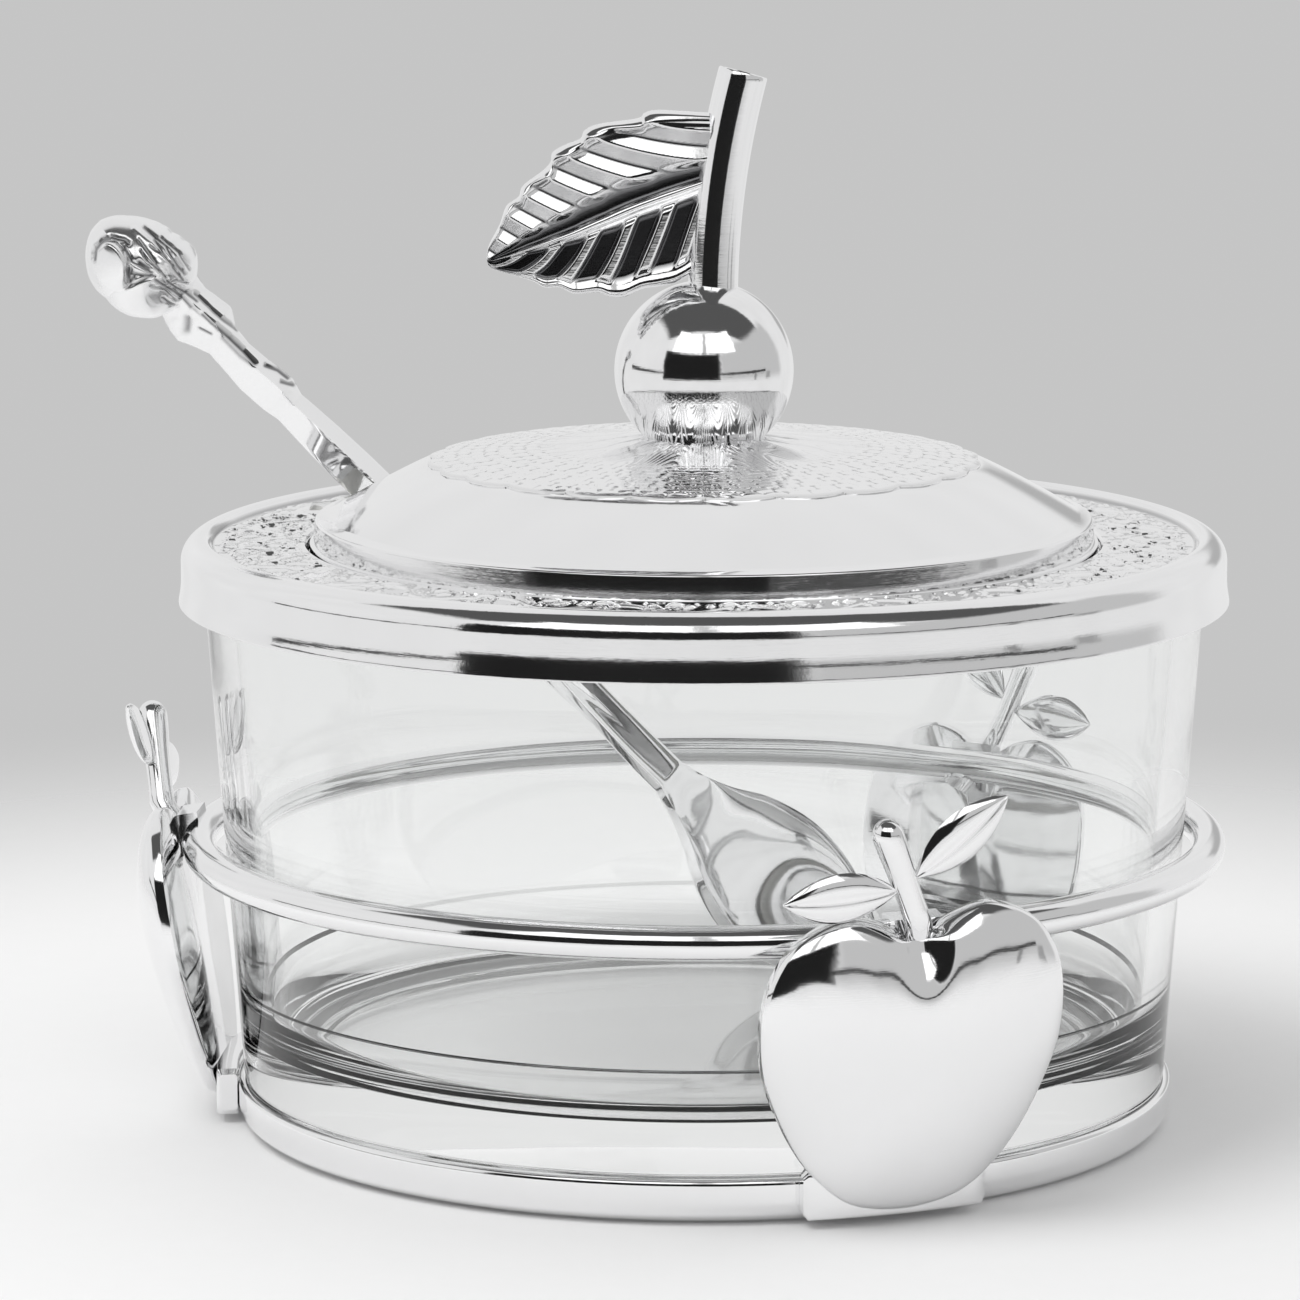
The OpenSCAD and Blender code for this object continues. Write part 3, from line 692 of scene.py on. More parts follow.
@dataclass
class Apple:
    """A cast half apple with a stalk and two leaves, on its leaning back plane."""

    name: str
    turn: float
    width: float = 33.6
    height: float = 33.0
    depth: float = 4.6
    plump: float = 1.3
    edge: float = 1.3
    foot_r: float = 52.65
    foot_z: float = 1.9
    lean: float = 9.87
    roll: float = 2.5
    stalk_d: float = 3.4
    stalk_l: float = 18.4
    stalk_lean: float = 20.5
    half: Sequence[Pair] = (
        (0.34, 0.03), (0.575, 0.12), (0.77, 0.255), (0.95, 0.46), (1.0, 0.61), (0.98, 0.755),
        (0.91, 0.85), (0.79, 0.93), (0.6, 0.985), (0.42, 1.0), (0.2, 0.965),
    )
    notch: Pair = (0.0, 0.9)
    middle: Pair = (0.0, 0.52)

    def frame(self) -> Matrix:
        """The place of the apple on the pot."""
        half = self.height / 2
        return (
            turned(self.turn, "Z")
            @ Matrix.Translation((0, -self.foot_r, self.foot_z))
            @ turned(self.lean, "X")
            @ Matrix.Diagonal((1, -1, 1, 1))
            @ Matrix.Translation((0, 0, half))
            @ turned(-self.roll, "Y")
            @ Matrix.Translation((0, 0, -half))
        )

    def body(self) -> Mesh:
        """The plump body, fullest across its lobes, with the narrow dimple under the stalk."""
        sides = [(-x, z) for x, z in reversed(self.half)]
        outline = curve([(0.0, 0.0), *self.half, self.notch, *sides], 8, closed=True)
        lobes = self.half[:-1]
        plain = curve(
            [(0.0, 0.0), *lobes, (0.2, 1.0), (0.0, 1.0), (-0.2, 1.0),
             *((-x, z) for x, z in reversed(lobes))], 8, closed=True,
        )
        mid = np.array(self.middle)
        shares = np.concatenate([[1.0, 0.996, 0.985, 0.965], np.linspace(0.94, 0.02, 40)])
        rings = []
        for share, flat in [(0.97, 0.0), (1.0, 0.4)] + [(s, None) for s in shares]:
            keep = float(smooth(np.array(share), 0.8, 1.0))
            q = mid + share * (outline * keep + plain * (1 - keep) - mid)
            if flat is None:
                full = self.depth + self.plump * smooth(q[:, 1], 0.1, 0.8) - self.edge
                lift = self.edge + full * (1 - share ** 2.1) ** 0.62
                away = (q[:, 0] * self.width / 2 / 2.3) ** 2
                away = away + np.clip((0.97 - q[:, 1]) * self.height / 4.6, 0, None) ** 2
                lift = self.edge + (lift - self.edge) * (1 - 0.72 * np.exp(-(away ** 1.3)))
            else:
                lift = np.full(len(q), flat)
            rings.append(np.stack([q[:, 0] * self.width / 2, lift, q[:, 1] * self.height], 1))
        return loft(np.array(rings))

    def stalk_at(self, t: float) -> np.ndarray:
        """Middle of the stalk at a share of its length."""
        lean = math.radians(self.stalk_lean)
        sink = 4.6 * max(0.0, 1 - t / 0.36) ** 1.3
        return np.array([
            2 - self.stalk_l * t * math.sin(lean), 2.0 - sink,
            0.8 * self.height + self.stalk_l * t * math.cos(lean),
        ])

    def stalk(self) -> Mesh:
        """The stalk with its rounded end."""
        lean = math.radians(self.stalk_lean)
        across = np.array([math.cos(lean), 0, math.sin(lean)])
        rings = []
        for t in np.concatenate([np.linspace(0, 0.9, 16), 0.9 + 0.1 * np.sin(np.linspace(0.2, 1.5, 9))]):
            swell = math.sqrt(max(0.0, 1 - max(0.0, (t - 0.9) / 0.1) ** 2))
            r = self.stalk_d / 2 * (1 - 0.3 * math.sin(math.pi * min(t, 0.86)) ** 2 * 0.7) * swell
            turn = np.radians(np.arange(0, 360, 15))
            rings.append(
                self.stalk_at(t) + r * (np.cos(turn)[:, None] * across
                                        + np.sin(turn)[:, None] * np.array([0, 1, 0]))
            )
        return loft(np.array(rings))

    def leaf(self, at: float, aside: float, turn: float) -> Mesh:
        """An almond leaf with a crease, on the stalk."""
        length, half, thick = 12.7, 2.7, 1.1
        rings = []
        for t in 0.5 - 0.5 * np.cos(np.linspace(0.15, math.pi - 0.1, 30)):
            w = half * math.sin(math.pi * t) ** 0.8
            d = thick * math.sin(math.pi * t) ** 0.5
            s = np.linspace(-1, 1, 13)
            crease = 1 - 0.3 * np.exp(-(s / 0.2) ** 2)
            front = np.stack([s * w, d * np.sqrt(1 - s * s * 0.98) * crease, 0 * s + t * length], 1)
            s = s[-2:0:-1]
            back = np.stack([s * w, -0.55 * d * np.sqrt(1 - s * s), 0 * s + t * length], 1)
            rings.append(np.concatenate([front, back]))
        place = Matrix.Translation(self.stalk_at(at) + np.array([aside, 0.1, 0])) @ turned(turn, "Y")
        return loft(np.array(rings)).moved(place)

    def build(self, shop: Workshop) -> None:
        """Builds and places the apple."""
        whole = self.body().joined(
            self.stalk(), self.leaf(0.62, 1.2, 52), self.leaf(0.55, -1.0, -90)
        )
        made = whole.moved(self.frame()).build(f"{self.name}_cast", 50)
        shop.place(made, Body.STAND, Slot.STAND, [self.name])


@dataclass
class Bowl:
    """The clear glass bowl."""

    base_r: float = 50.75
    rim_r: float = 54.65
    wall: float = 3.0
    floor_z: float = 9.8
    corner: float = 6.0
    foot_r: float = 49.0
    foot_z: float = 1.6
    step_z: float = 5.6
    rim_z: float = 60.8

    def outer(self, z: float) -> float:
        """Outer radius at a height."""
        return self.base_r + (self.rim_r - self.base_r) * (z - self.step_z) / (self.rim_z - self.step_z)

    def glass(self) -> Mesh:
        """The bowl with its punt, heel, shelf and rounded rim."""
        z = self.foot_z
        inside = self.outer(self.floor_z) - self.wall
        line = [(0.0, z + 1), (self.foot_r - 7, z + 1), (self.foot_r - 6, z)]
        line += arc((self.foot_r - 1, z + 1), (1, 1), -90, 0, 8)
        line += [(self.foot_r, self.step_z - 0.5)]
        line += [(self.base_r - 0.5, self.step_z - 0.5)]
        line += arc((self.base_r - 0.5, self.step_z), (0.5, 0.5), -60, 0, 4)
        line += [(self.outer(h), h) for h in np.linspace(8, self.rim_z - 3, 14)]
        line += arc((self.rim_r - 0.8, self.rim_z - 0.8), (0.8, 0.8), 0, 90, 6)
        line += arc((self.rim_r - self.wall + 0.8, self.rim_z - 0.8), (0.8, 0.8), 90, 180, 6)
        bend = self.floor_z + self.corner + 0.4
        line += [(self.outer(h) - self.wall, h) for h in np.linspace(self.rim_z - 3, bend, 12)]
        centre = (inside - self.corner, self.floor_z + self.corner)
        line += arc(centre, (self.corner, self.corner), 0, -90, 16)
        line += [(r, self.floor_z) for r in np.linspace(inside - self.corner - 3, 0.0, 7)]
        return lathe(line, 256)

    def build(self, shop: Workshop) -> None:
        """Builds and places the bowl, which lets light through to the floor."""
        made = self.glass().build("glass_body", 30)
        made.visible_shadow = False
        shop.place(made, Body.GLASS, Slot.GLASS, ["glass_bowl"])


@dataclass
class SpoonSlot:
    """The slot at the left through which the spoon comes out."""

    middle_y: float = 25.0
    at: float = -39.21
    half: float = 3.3

    def tool(self, name: str, z: Pair, inward: float, outward: float) -> bpy.types.Object:
        """A prism in the slot's shape, with a round end towards the middle of the pot."""
        turn = arc((self.at + inward - self.half, self.middle_y), (self.half,) * 2, -90, 90, 20)
        out = self.at - outward
        line = turn + [(out, self.middle_y + self.half), (out, self.middle_y - self.half)]
        n = len(line)
        points = [(x, y, h) for h in z for x, y in line]
        faces = [[i, (i + 1) % n, n + (i + 1) % n, n + i] for i in range(n)]
        faces += [list(range(n))[::-1], [n + i for i in range(n)]]
        return Mesh(np.array(points, float), faces).build(name)


def scrolls(u: np.ndarray, v: np.ndarray) -> tuple[np.ndarray, np.ndarray]:
    """Height and painted shade of a winding vine with leaves and berries.

    Args:
        u: Place along the band in repeats of the pattern.
        v: Place across the band, from 0 at its inner edge to 1 at its outer edge.

    Returns:
        The height from 0 to 1, and the painted shade from 0 to 1, faint on the low ground and full in the
        pits.
    """
    phase = u - np.floor(u)
    side = np.where(np.floor(u).astype(int) % 2 == 0, 1.0, -1.0)
    x, y = (phase - 0.5) * 2.2, (v - 0.5) * 2 * side
    vine = 0.42 * np.sin(np.pi * (u - 0.25) * 1.0)
    line = np.exp(-(((v - 0.5) * 2 - vine) / 0.1) ** 2)
    height = 0.75 * line

    def blade(cx: float, cy: float, turn: float, long: float, wide: float) -> np.ndarray:
        """Height of a leaf with a vein along its middle."""
        c, s = math.cos(turn), math.sin(turn)
        p, q = (x - cx) * c + (y - cy) * s, -(x - cx) * s + (y - cy) * c
        inside = 1 - (p / long) ** 2 - (q / (wide * (1 - 0.35 * p / long))) ** 2
        return np.sqrt(np.clip(inside, 0, 1)) * (1 - 0.55 * np.exp(-(q / 0.035) ** 2))

    for leaf in (
        (-0.55, -0.35, 0.7, 0.42, 0.17), (0.1, -0.62, -0.2, 0.36, 0.15), (0.55, -0.3, 2.3, 0.38, 0.16),
        (-0.2, 0.62, 0.3, 0.4, 0.17), (0.6, 0.6, -0.7, 0.36, 0.15), (-0.85, 0.55, 1.2, 0.3, 0.13),
        (0.0, 0.1, 1.3, 0.26, 0.12),
    ):
        height = np.maximum(height, blade(*leaf))
    # Pits dented into the surface and filled with painted shade.
    dots = np.zeros_like(u)
    for cx, cy in ((-0.1, -0.25), (0.35, 0.25), (-0.5, 0.2), (0.85, -0.65), (-0.95, -0.75)):
        far = np.hypot(x - cx, y - cy)
        height = np.maximum(height, 0.8 * np.sqrt(np.clip(1 - (far / 0.1) ** 2, 0, 1)))
    for cx, cy in ((0.3, -0.1), (-0.75, 0.05), (0.2, 0.85), (-0.45, -0.85)):
        dots = np.maximum(dots, np.exp(-(np.hypot(x - cx, y - cy) / 0.09) ** 4))
    edge = smooth(v, 0.0, 0.06) * (1 - smooth(v, 0.94, 1.0))
    # A faint painted shade over the low ground between the raised parts.
    low = (1 - smooth(height, 0.0, 0.35)) * edge
    return (height - 0.9 * dots) * edge, np.maximum(0.05 * low, dots * edge)


@dataclass
class Collar:
    """The collar on the glass rim, with its embossed band, and its hinge leaf."""

    out_r: float = 57.0
    band_z: float = 64.0
    sheet: float = 1.0
    skirt: float = 6.2
    bead_h: float = 0.9
    bead_w: float = 2.6
    bead_low: float = 1.7
    bead_in: float = 53.5
    mouth: float = 43.25
    rest_w: float = 3.25
    rest_z: float = 62.7
    relief_h: float = 0.29
    # Strength of the painted shade in a ring where the band meets the bead.
    bead_foot_shade: float = 0.5
    repeats: int = 44
    slot: SpoonSlot = field(default_factory=SpoonSlot)

    def ring(self) -> Mesh:
        """The whole collar, turned in one piece with its relief."""
        out, top = self.out_r, self.band_z
        mid = out - self.bead_w
        low = top - self.skirt
        line = rounded([(out - self.sheet, low), (out + 0.29, low), (out + 0.25, low + 0.4)], 0.1, 3, False)
        line += [(out + 0.25 * (1 - t) ** 2, low + 0.4 + 2.3 * t) for t in np.linspace(0.1, 0.9, 8)]
        line += [(out, low + 2.75), (out, low + 2.9), (out, top - self.bead_low - 0.12)]
        line += arc((mid, top - self.bead_low), (self.bead_w, self.bead_low + self.bead_h), 0, 90, 30)
        line += [(mid - 0.3, top + 0.75), (mid - 0.6, top + 0.45), (mid - 0.8, top + 0.1)]
        first = len(line)
        line += [(r, top) for r in np.linspace(self.bead_in, self.mouth + 0.35, 46)]
        last = len(line) - 1
        rest = self.rest_z
        line += rounded(
            [(self.mouth + 0.3, top), (self.mouth, top - 0.3), (self.mouth, rest),
             (self.mouth - self.rest_w, rest), (self.mouth - self.rest_w, rest - self.sheet),
             (self.mouth + self.sheet, rest - self.sheet), (self.mouth + self.sheet, top - self.sheet),
             (out - self.sheet, top - self.sheet), (out - self.sheet, low + 0.1)],
            0.15, 3, closed=False,
        )

        def relief(r: np.ndarray, a: np.ndarray, row: np.ndarray) -> tuple[np.ndarray, np.ndarray]:
            """The embossing of the rows of the band, with its painted shade."""
            on = (row >= first) & (row <= last)
            v = (r - self.mouth) / (self.bead_in - self.mouth)
            lift, shade_mask = scrolls(a * self.repeats / (2 * math.pi), np.clip(v, 0, 1))
            flat = smooth(np.abs(np.arctan2(np.sin(a - math.pi / 2), np.cos(a - math.pi / 2))), 0.2, 0.215)
            # Painted shade on the two rows where the bead meets the band.
            bead_foot_shade = self.bead_foot_shade * ((row >= first - 1) & (row <= first))
            return np.where(on, lift * self.relief_h * flat, 0), np.where(on, shade_mask * flat, 0) + bead_foot_shade

        return lathe(line, 1440, relief)

    def build(self, shop: Workshop) -> None:
        """Builds and places the collar and its hinge leaf."""
        made = self.ring().build("collar_band", 60)
        cut(made, self.slot.tool("slot_tool", (self.rest_z - 3, self.band_z + 3), 6.2, 5.2))
        shop.place(made, Body.COLLAR, Slot.COLLAR, ["collar_ring"])
        shop.keep("collar_leaf", Slot.COLLAR, 0.12)
        shop.keep("leaf_rivets", Slot.STEEL, 0.08)
        shop.keep("hinge_pin", Slot.STEEL, 0.08)
        shop.keep("rim_gasket", Slot.SEAL, 0.15)


@dataclass
class Lid:
    """The dome with its petal rosette and its hinge leaf."""

    rest_z: float = 62.7
    band_z: float = 64.0
    lid_r: float = 43.0
    wall_r: float = 42.4
    turn_r: float = 41.4
    turn_z: float = 66.7
    rosette_r: float = 30.2
    shoulder_z: float = 72.6
    crown_h: float = 1.9
    bow: float = 1.15
    sheet: float = 1.2
    edge_w: float = 2.2
    rosette_t: float = 0.35
    petals: int = 24
    slot: SpoonSlot = field(default_factory=SpoonSlot)

    def top(self, r: np.ndarray) -> np.ndarray:
        """Height of the outer face at a radius."""
        r = np.asarray(r, float)
        crown = self.shoulder_z + self.crown_h * (1 - (r / self.rosette_r) ** 2)
        wide = self.turn_r - self.rosette_r
        slope = -2 * self.crown_h / self.rosette_r
        t = np.clip((r - self.rosette_r) / wide, 0, None)
        drop = self.shoulder_z - self.turn_z + slope * wide
        shoulder = self.shoulder_z + slope * wide * t - drop * t ** self.bow
        return np.where(r <= self.rosette_r, crown, shoulder)

    def dome(self) -> Mesh:
        """The dome with its rounded corner, upright rim and edge."""
        wall, corner = self.wall_r, self.turn_z
        line = [(2.2, float(self.top(2.2)))]
        line += [(r, float(self.top(r))) for r in np.linspace(4, self.turn_r, 60)]
        line = line[:-1] + [(self.turn_r - 0.25, float(self.top(self.turn_r - 0.25)))]
        foot = (wall + 0.22, self.band_z + 0.08)
        crest = (wall, corner - 0.2)
        line += rounded([line[-1], (wall - 0.14, corner - 0.05), crest], 0.3, 5, False)[1:-1]
        line += [tuple(np.array(crest) + (np.array(foot) - crest) * t) for t in (0.0, 0.04, 0.5, 0.96, 1.0)]
        line += [(self.lid_r, self.band_z)]
        line += [(self.lid_r, self.rest_z), (self.lid_r - self.edge_w, self.rest_z)]
        inner = np.linspace(self.lid_r - self.edge_w, 2.2, 40)
        line += [(r, float(self.top(r)) - self.sheet) for r in inner]
        return lathe(line, 256)

    def rosette(self) -> Mesh:
        """The thin plate with petals, scales and the leaves round the knob."""
        rows = 110
        share = np.linspace(0.0, 1.0, rows)
        angle = np.arange(1440) * 2 * math.pi / 1440
        petal = np.abs(np.sin(angle * self.petals / 2))
        rim = self.rosette_r - 0.75 * (1 - petal ** 0.8)
        s, a = np.meshgrid(share, angle, indexing="ij")
        r = 2.2 + (rim[None, :] - 2.2) * s
        height = self.relief(r, a, rim[None, :])
        z = self.top(r) + self.rosette_t + height[0]
        upper = np.stack([r * np.cos(a), r * np.sin(a), z], 2)
        under = upper[[0, -1]].copy()
        under[..., 2] = self.top(r[[0, -1]]) - 0.02
        rings = np.concatenate([under[:1], upper, under[1:]])
        none = np.zeros((1, len(angle)))
        shade_mask = np.concatenate([none, height[1], none])
        rows_all = rings.shape[0]
        return Mesh(
            rings.reshape(-1, 3), net(rows_all, len(angle), wrap_rows=True), shade_mask.reshape(-1)
        )

    def relief(self, r: np.ndarray, a: np.ndarray, rim: np.ndarray) -> tuple[np.ndarray, np.ndarray]:
        """Height and painted shade of the rosette: scales in arcs, petals and leaves round the knob."""
        row_h = 1.5
        row = np.floor(r / row_h)
        count = np.maximum(12, np.round(row * row_h * 2 * math.pi / 2.4 / 12) * 12)
        across = a * count / (2 * math.pi) + 0.5 * (row % 2)
        x = (across - np.floor(across)) * 2 - 1
        y = (r / row_h - row) * 2 - 1
        scale = np.clip(1 - (np.abs(x) ** 2.4 + np.clip(y, -1, 1) ** 2 * 0.55), 0, 1)
        outer = smooth(rim - r, 0.25, 1.0)
        lip = 0.08 * np.exp(-((rim - r - 0.5) / 0.3) ** 2)
        height = 0.1 * scale ** 0.5 * outer + lip - 0.14 * (1 - smooth(rim - r, 0.0, 2.0))
        # Painted shade between the scales and in a thin ring just inside the edge of the rosette.
        shade_mask = 0.4 * (1 - smooth(scale, 0.0, 0.22)) * outer * smooth(np.sin(a * 48), -0.4, 0.2)
        shade_mask = np.maximum(shade_mask, 0.35 * np.exp(-((rim - r - 0.12) / 0.12) ** 2))
        mound = 0.7 * (1 - smooth(r, 5.5, 17.0)) ** 1.2
        fold = np.abs(np.sin(a * 8 + 0.35 * np.sin(r * 0.9))) ** 0.7
        vein = np.abs(np.sin(a * 24 + r * 1.1 * np.sin(a * 8)))
        near = 1 - smooth(r, 14.0, 20.0)
        leafy = mound * (0.7 + 0.3 * fold) + 0.07 * vein
        height = height * (1 - near) + near * leafy
        # Painted shade in the folds of the leaves round the knob.
        shade_mask = shade_mask * (1 - near) + near * 0.16 * (1 - smooth(fold * vein, 0.02, 0.16))
        return height, shade_mask

    def build(self, shop: Workshop) -> None:
        """Builds and places the dome, the rosette and the hinge leaf."""
        made = self.dome().build("dome_shell", 30)
        cut(made, self.slot.tool("notch_tool", (self.rest_z - 2, self.shoulder_z), 4.6, 8.0))
        shop.place(made, Body.LID, Slot.LID, ["lid_dome"])
        shop.place(self.rosette().build("rosette_relief", 60), Body.LID, Slot.LID, ["rosette_plate"])
        shop.keep("lid_leaf", Slot.LID, 0.12)


@dataclass
class Knob:
    """The cherry: a ball, a bent stem and a serrated leaf, with their screw."""

    ball_r: float = 9.75
    ball_z: float = 82.61
    seat_r: float = 5.9
    seat_z: float = 74.85
    stem_r: float = 2.7
    stem_l: float = 23.2
    stem_bend: float = 14.0
    stem_lean: float = 1.0
    stem_off: float = 1.0
    stem_back: float = 3.0
    leaf_t: float = 1.5
    upper: Sequence[Pair] = (
        (-23.6, 2.5), (-23.3, 3.9), (-22.2, 6.0), (-21.4, 8.1), (-20.1, 9.1), (-19.6, 10.3),
        (-17.5, 11.9), (-16.6, 12.9), (-16.4, 13.9), (-15.1, 14.7), (-13.4, 15.4), (-12.9, 16.3),
        (-11.3, 17.0), (-7.2, 17.6), (-6.4, 18.2), (-4.8, 18.5), (0.6, 18.2),
    )
    lower: Sequence[Pair] = (
        (-23.6, 2.4), (-22.8, 1.3), (-18.9, 0.1), (-17.3, -0.7), (-15.7, -0.7), (-14.0, -1.4),
        (-11.5, -1.25), (-10.2, -1.7), (-8.6, -1.7), (-6.7, -0.9), (-4.8, -0.6), (-2.6, 0.0),
        (0.9, 2.4),
    )
    rib: Sequence[Pair] = (
        (-23.5, 2.45), (-22.0, 2.5), (-14.9, 4.9), (-11.0, 6.5), (-7.0, 8.2), (-2.6, 9.8), (0.8, 11.0),
    )

    @property
    def ball_top(self) -> float:
        """Height of the ball's top."""
        return self.ball_z + self.ball_r

    def ball(self) -> Mesh:
        """The ball with its flat seat and a thin foot ring."""
        seat = math.degrees(math.asin(self.seat_r / self.ball_r))
        line = [(0.0, self.seat_z), (self.seat_r + 0.35, self.seat_z), (self.seat_r + 0.45, self.seat_z + 0.3)]
        line += arc((0, self.ball_z), (self.ball_r,) * 2, seat - 90 + 2, 89, 90)
        line += [(0.0, self.ball_top)]
        return lathe(line, 192)

    def stem(self) -> Mesh:
        """The bent stem with a rim and a hollow at its cut end."""
        bend = self.stem_l / math.radians(self.stem_bend)
        place = (
            Matrix.Translation((self.stem_off, 0, self.ball_top - 0.5))
            @ turned(-self.stem_back, "X")
            @ turned(self.stem_lean, "Y")
        )
        rings = []
        rows = [(t, 1.0) for t in np.linspace(-0.05, 1, 40)]
        rows += [(1.0 + 0.006, 0.97), (1.006, 0.86), (1.0, 0.8), (0.985, 0.78), (0.985, 0.3)]
        for t, size in rows:
            turn = math.radians(self.stem_bend) * t
            centre = np.array([bend * (1 - math.cos(turn)), 0, bend * math.sin(turn)])
            across = np.array([math.cos(turn), 0, -math.sin(turn)])
            a = np.radians(np.arange(0, 360, 5))
            r = self.stem_r * size
            rings.append(
                centre + r * (np.cos(a)[:, None] * across + np.sin(a)[:, None] * np.array([0, 1, 0]))
            )
        return loft(np.array(rings)).moved(place)

    def leaf(self) -> Mesh:
        """The leaf: ribs in pillows above the midrib, slanting ribs and recesses below it."""
        rows, half = 240, 60
        t = np.linspace(0, 1, rows)

        def along(points: Sequence[Pair]) -> np.ndarray:
            """Even steps along a curve through points."""
            fine = curve(points, 24)
            far = np.concatenate([[0], np.cumsum(np.linalg.norm(np.diff(fine, axis=0), axis=1))])
            return np.stack([np.interp(t * far[-1], far, fine[:, k]) for k in (0, 1)], 1)

        high, low, rib = along(self.upper), along(self.lower), along(self.rib)
        s = np.linspace(0, 1, half)
        below = low[:, None] + (rib - low)[:, None] * s[None, :, None]
        above = rib[:, None] + (high - rib)[:, None] * s[None, 1:, None]
        flat = np.concatenate([below, above], 1)
        side = np.concatenate([s - 1, s[1:]])[None, :] + 0 * t[:, None]
        lift, shade_mask = self.relief(flat, side, t[:, None] + 0 * side)
        front = np.stack([flat[..., 0], -self.leaf_t / 2 - lift, flat[..., 1]], 2)
        back = np.stack([flat[..., 0], self.leaf_t / 2 + 0.5 * lift, flat[..., 1]], 2)
        ring = np.concatenate([front, back[:, ::-1]], 1)
        # The back of the leaf takes six tenths of the front's painted shade.
        made = loft(ring, np.concatenate([shade_mask, 0.6 * shade_mask[:, ::-1]], 1))
        return made.moved(Matrix.Translation((0, 0, self.ball_top)))

    def relief(self, flat: np.ndarray, side: np.ndarray, t: np.ndarray) -> tuple[np.ndarray, np.ndarray]:
        """Height and painted shade of the leaf.

        Args:
            flat: Places in the leaf's plane.
            side: -1 at the lower edge, 0 on the midrib, 1 at the upper edge.
            t: 0 at the tip, 1 at the stem.

        Returns:
            The height in millimetres and the painted shade from 0 to 1.
        """
        x, z = flat[..., 0], flat[..., 1]
        up = side > 0
        slope = math.radians(-20)
        across = z * math.cos(slope) - (x + 8) * math.sin(slope) - 0.012 * (x + 12) ** 2
        k = across / 3.05 + 0.132
        cell = k - np.floor(k)
        pillow = np.where(cell < 0.52, cell / 0.52, (1 - cell) / 0.48)
        inside = smooth(side, 0.2, 0.36) * (1 - smooth(side, 0.88, 0.97))
        groove_up = smooth(side, 0.02, 0.08) * (1 - smooth(side, 0.2, 0.33))
        high_up = 0.55 * pillow * inside - 0.25 * groove_up
        # Painted reflection: a light shade over the rising face of each pillow, and a line of painted shade
        # where two pillows meet.
        painted_grey = 0.26 * smooth(cell, 0.04, 0.1) * (1 - smooth(cell, 0.46, 0.52))
        line = 0.9 * (1 - smooth(np.minimum(cell, 1 - cell), 0.03, 0.09))
        # Painted shade in the groove beside the midrib and on the pillows.
        shade_up = 0.95 * groove_up + inside * np.maximum(painted_grey, line)
        slant = t * 6.0 - 1.1 * side
        near = np.abs(slant - np.round(slant))
        ribs = 1 - smooth(near, 0.12, 0.26)
        field_low = smooth(-side, 0.1, 0.18) * (1 - smooth(-side, 0.74, 0.84))
        high_low = field_low * (0.45 * ribs - 0.55 * (1 - ribs) * (1 - 0.6 * -side))
        # Painted shade between the slanting ribs.
        shade_low = field_low * (1 - ribs)
        mid = np.exp(-(side / 0.07) ** 2)
        border = np.exp(-((np.abs(side) - 0.93) / 0.07) ** 2)
        lift = np.where(up, high_up, high_low) + 0.45 * mid + 0.3 * border
        edge = np.minimum(1, np.minimum((1 - np.abs(side)) / 0.04, np.minimum(t, 1) / 0.02))
        lift = lift * edge - 0.45 * (1 - edge)
        return lift, np.where(up, shade_up, shade_low) * edge

    def build(self, shop: Workshop) -> None:
        """Builds and places the knob."""
        shop.place(self.ball().build("cherry_ball", 30), Body.LID, Slot.KNOB, ["knob_ball"])
        shop.place(self.stem().build("cherry_stem", 40), Body.LID, Slot.KNOB, ["knob_stem"])
        shop.place(self.leaf().build("cherry_leaf", 60), Body.LID, Slot.KNOB, ["knob_leaf"])
        shop.keep("knob_screw", Slot.STEEL, 0.1)
        shop.keep("knob_washer", Slot.STEEL, 0.1)


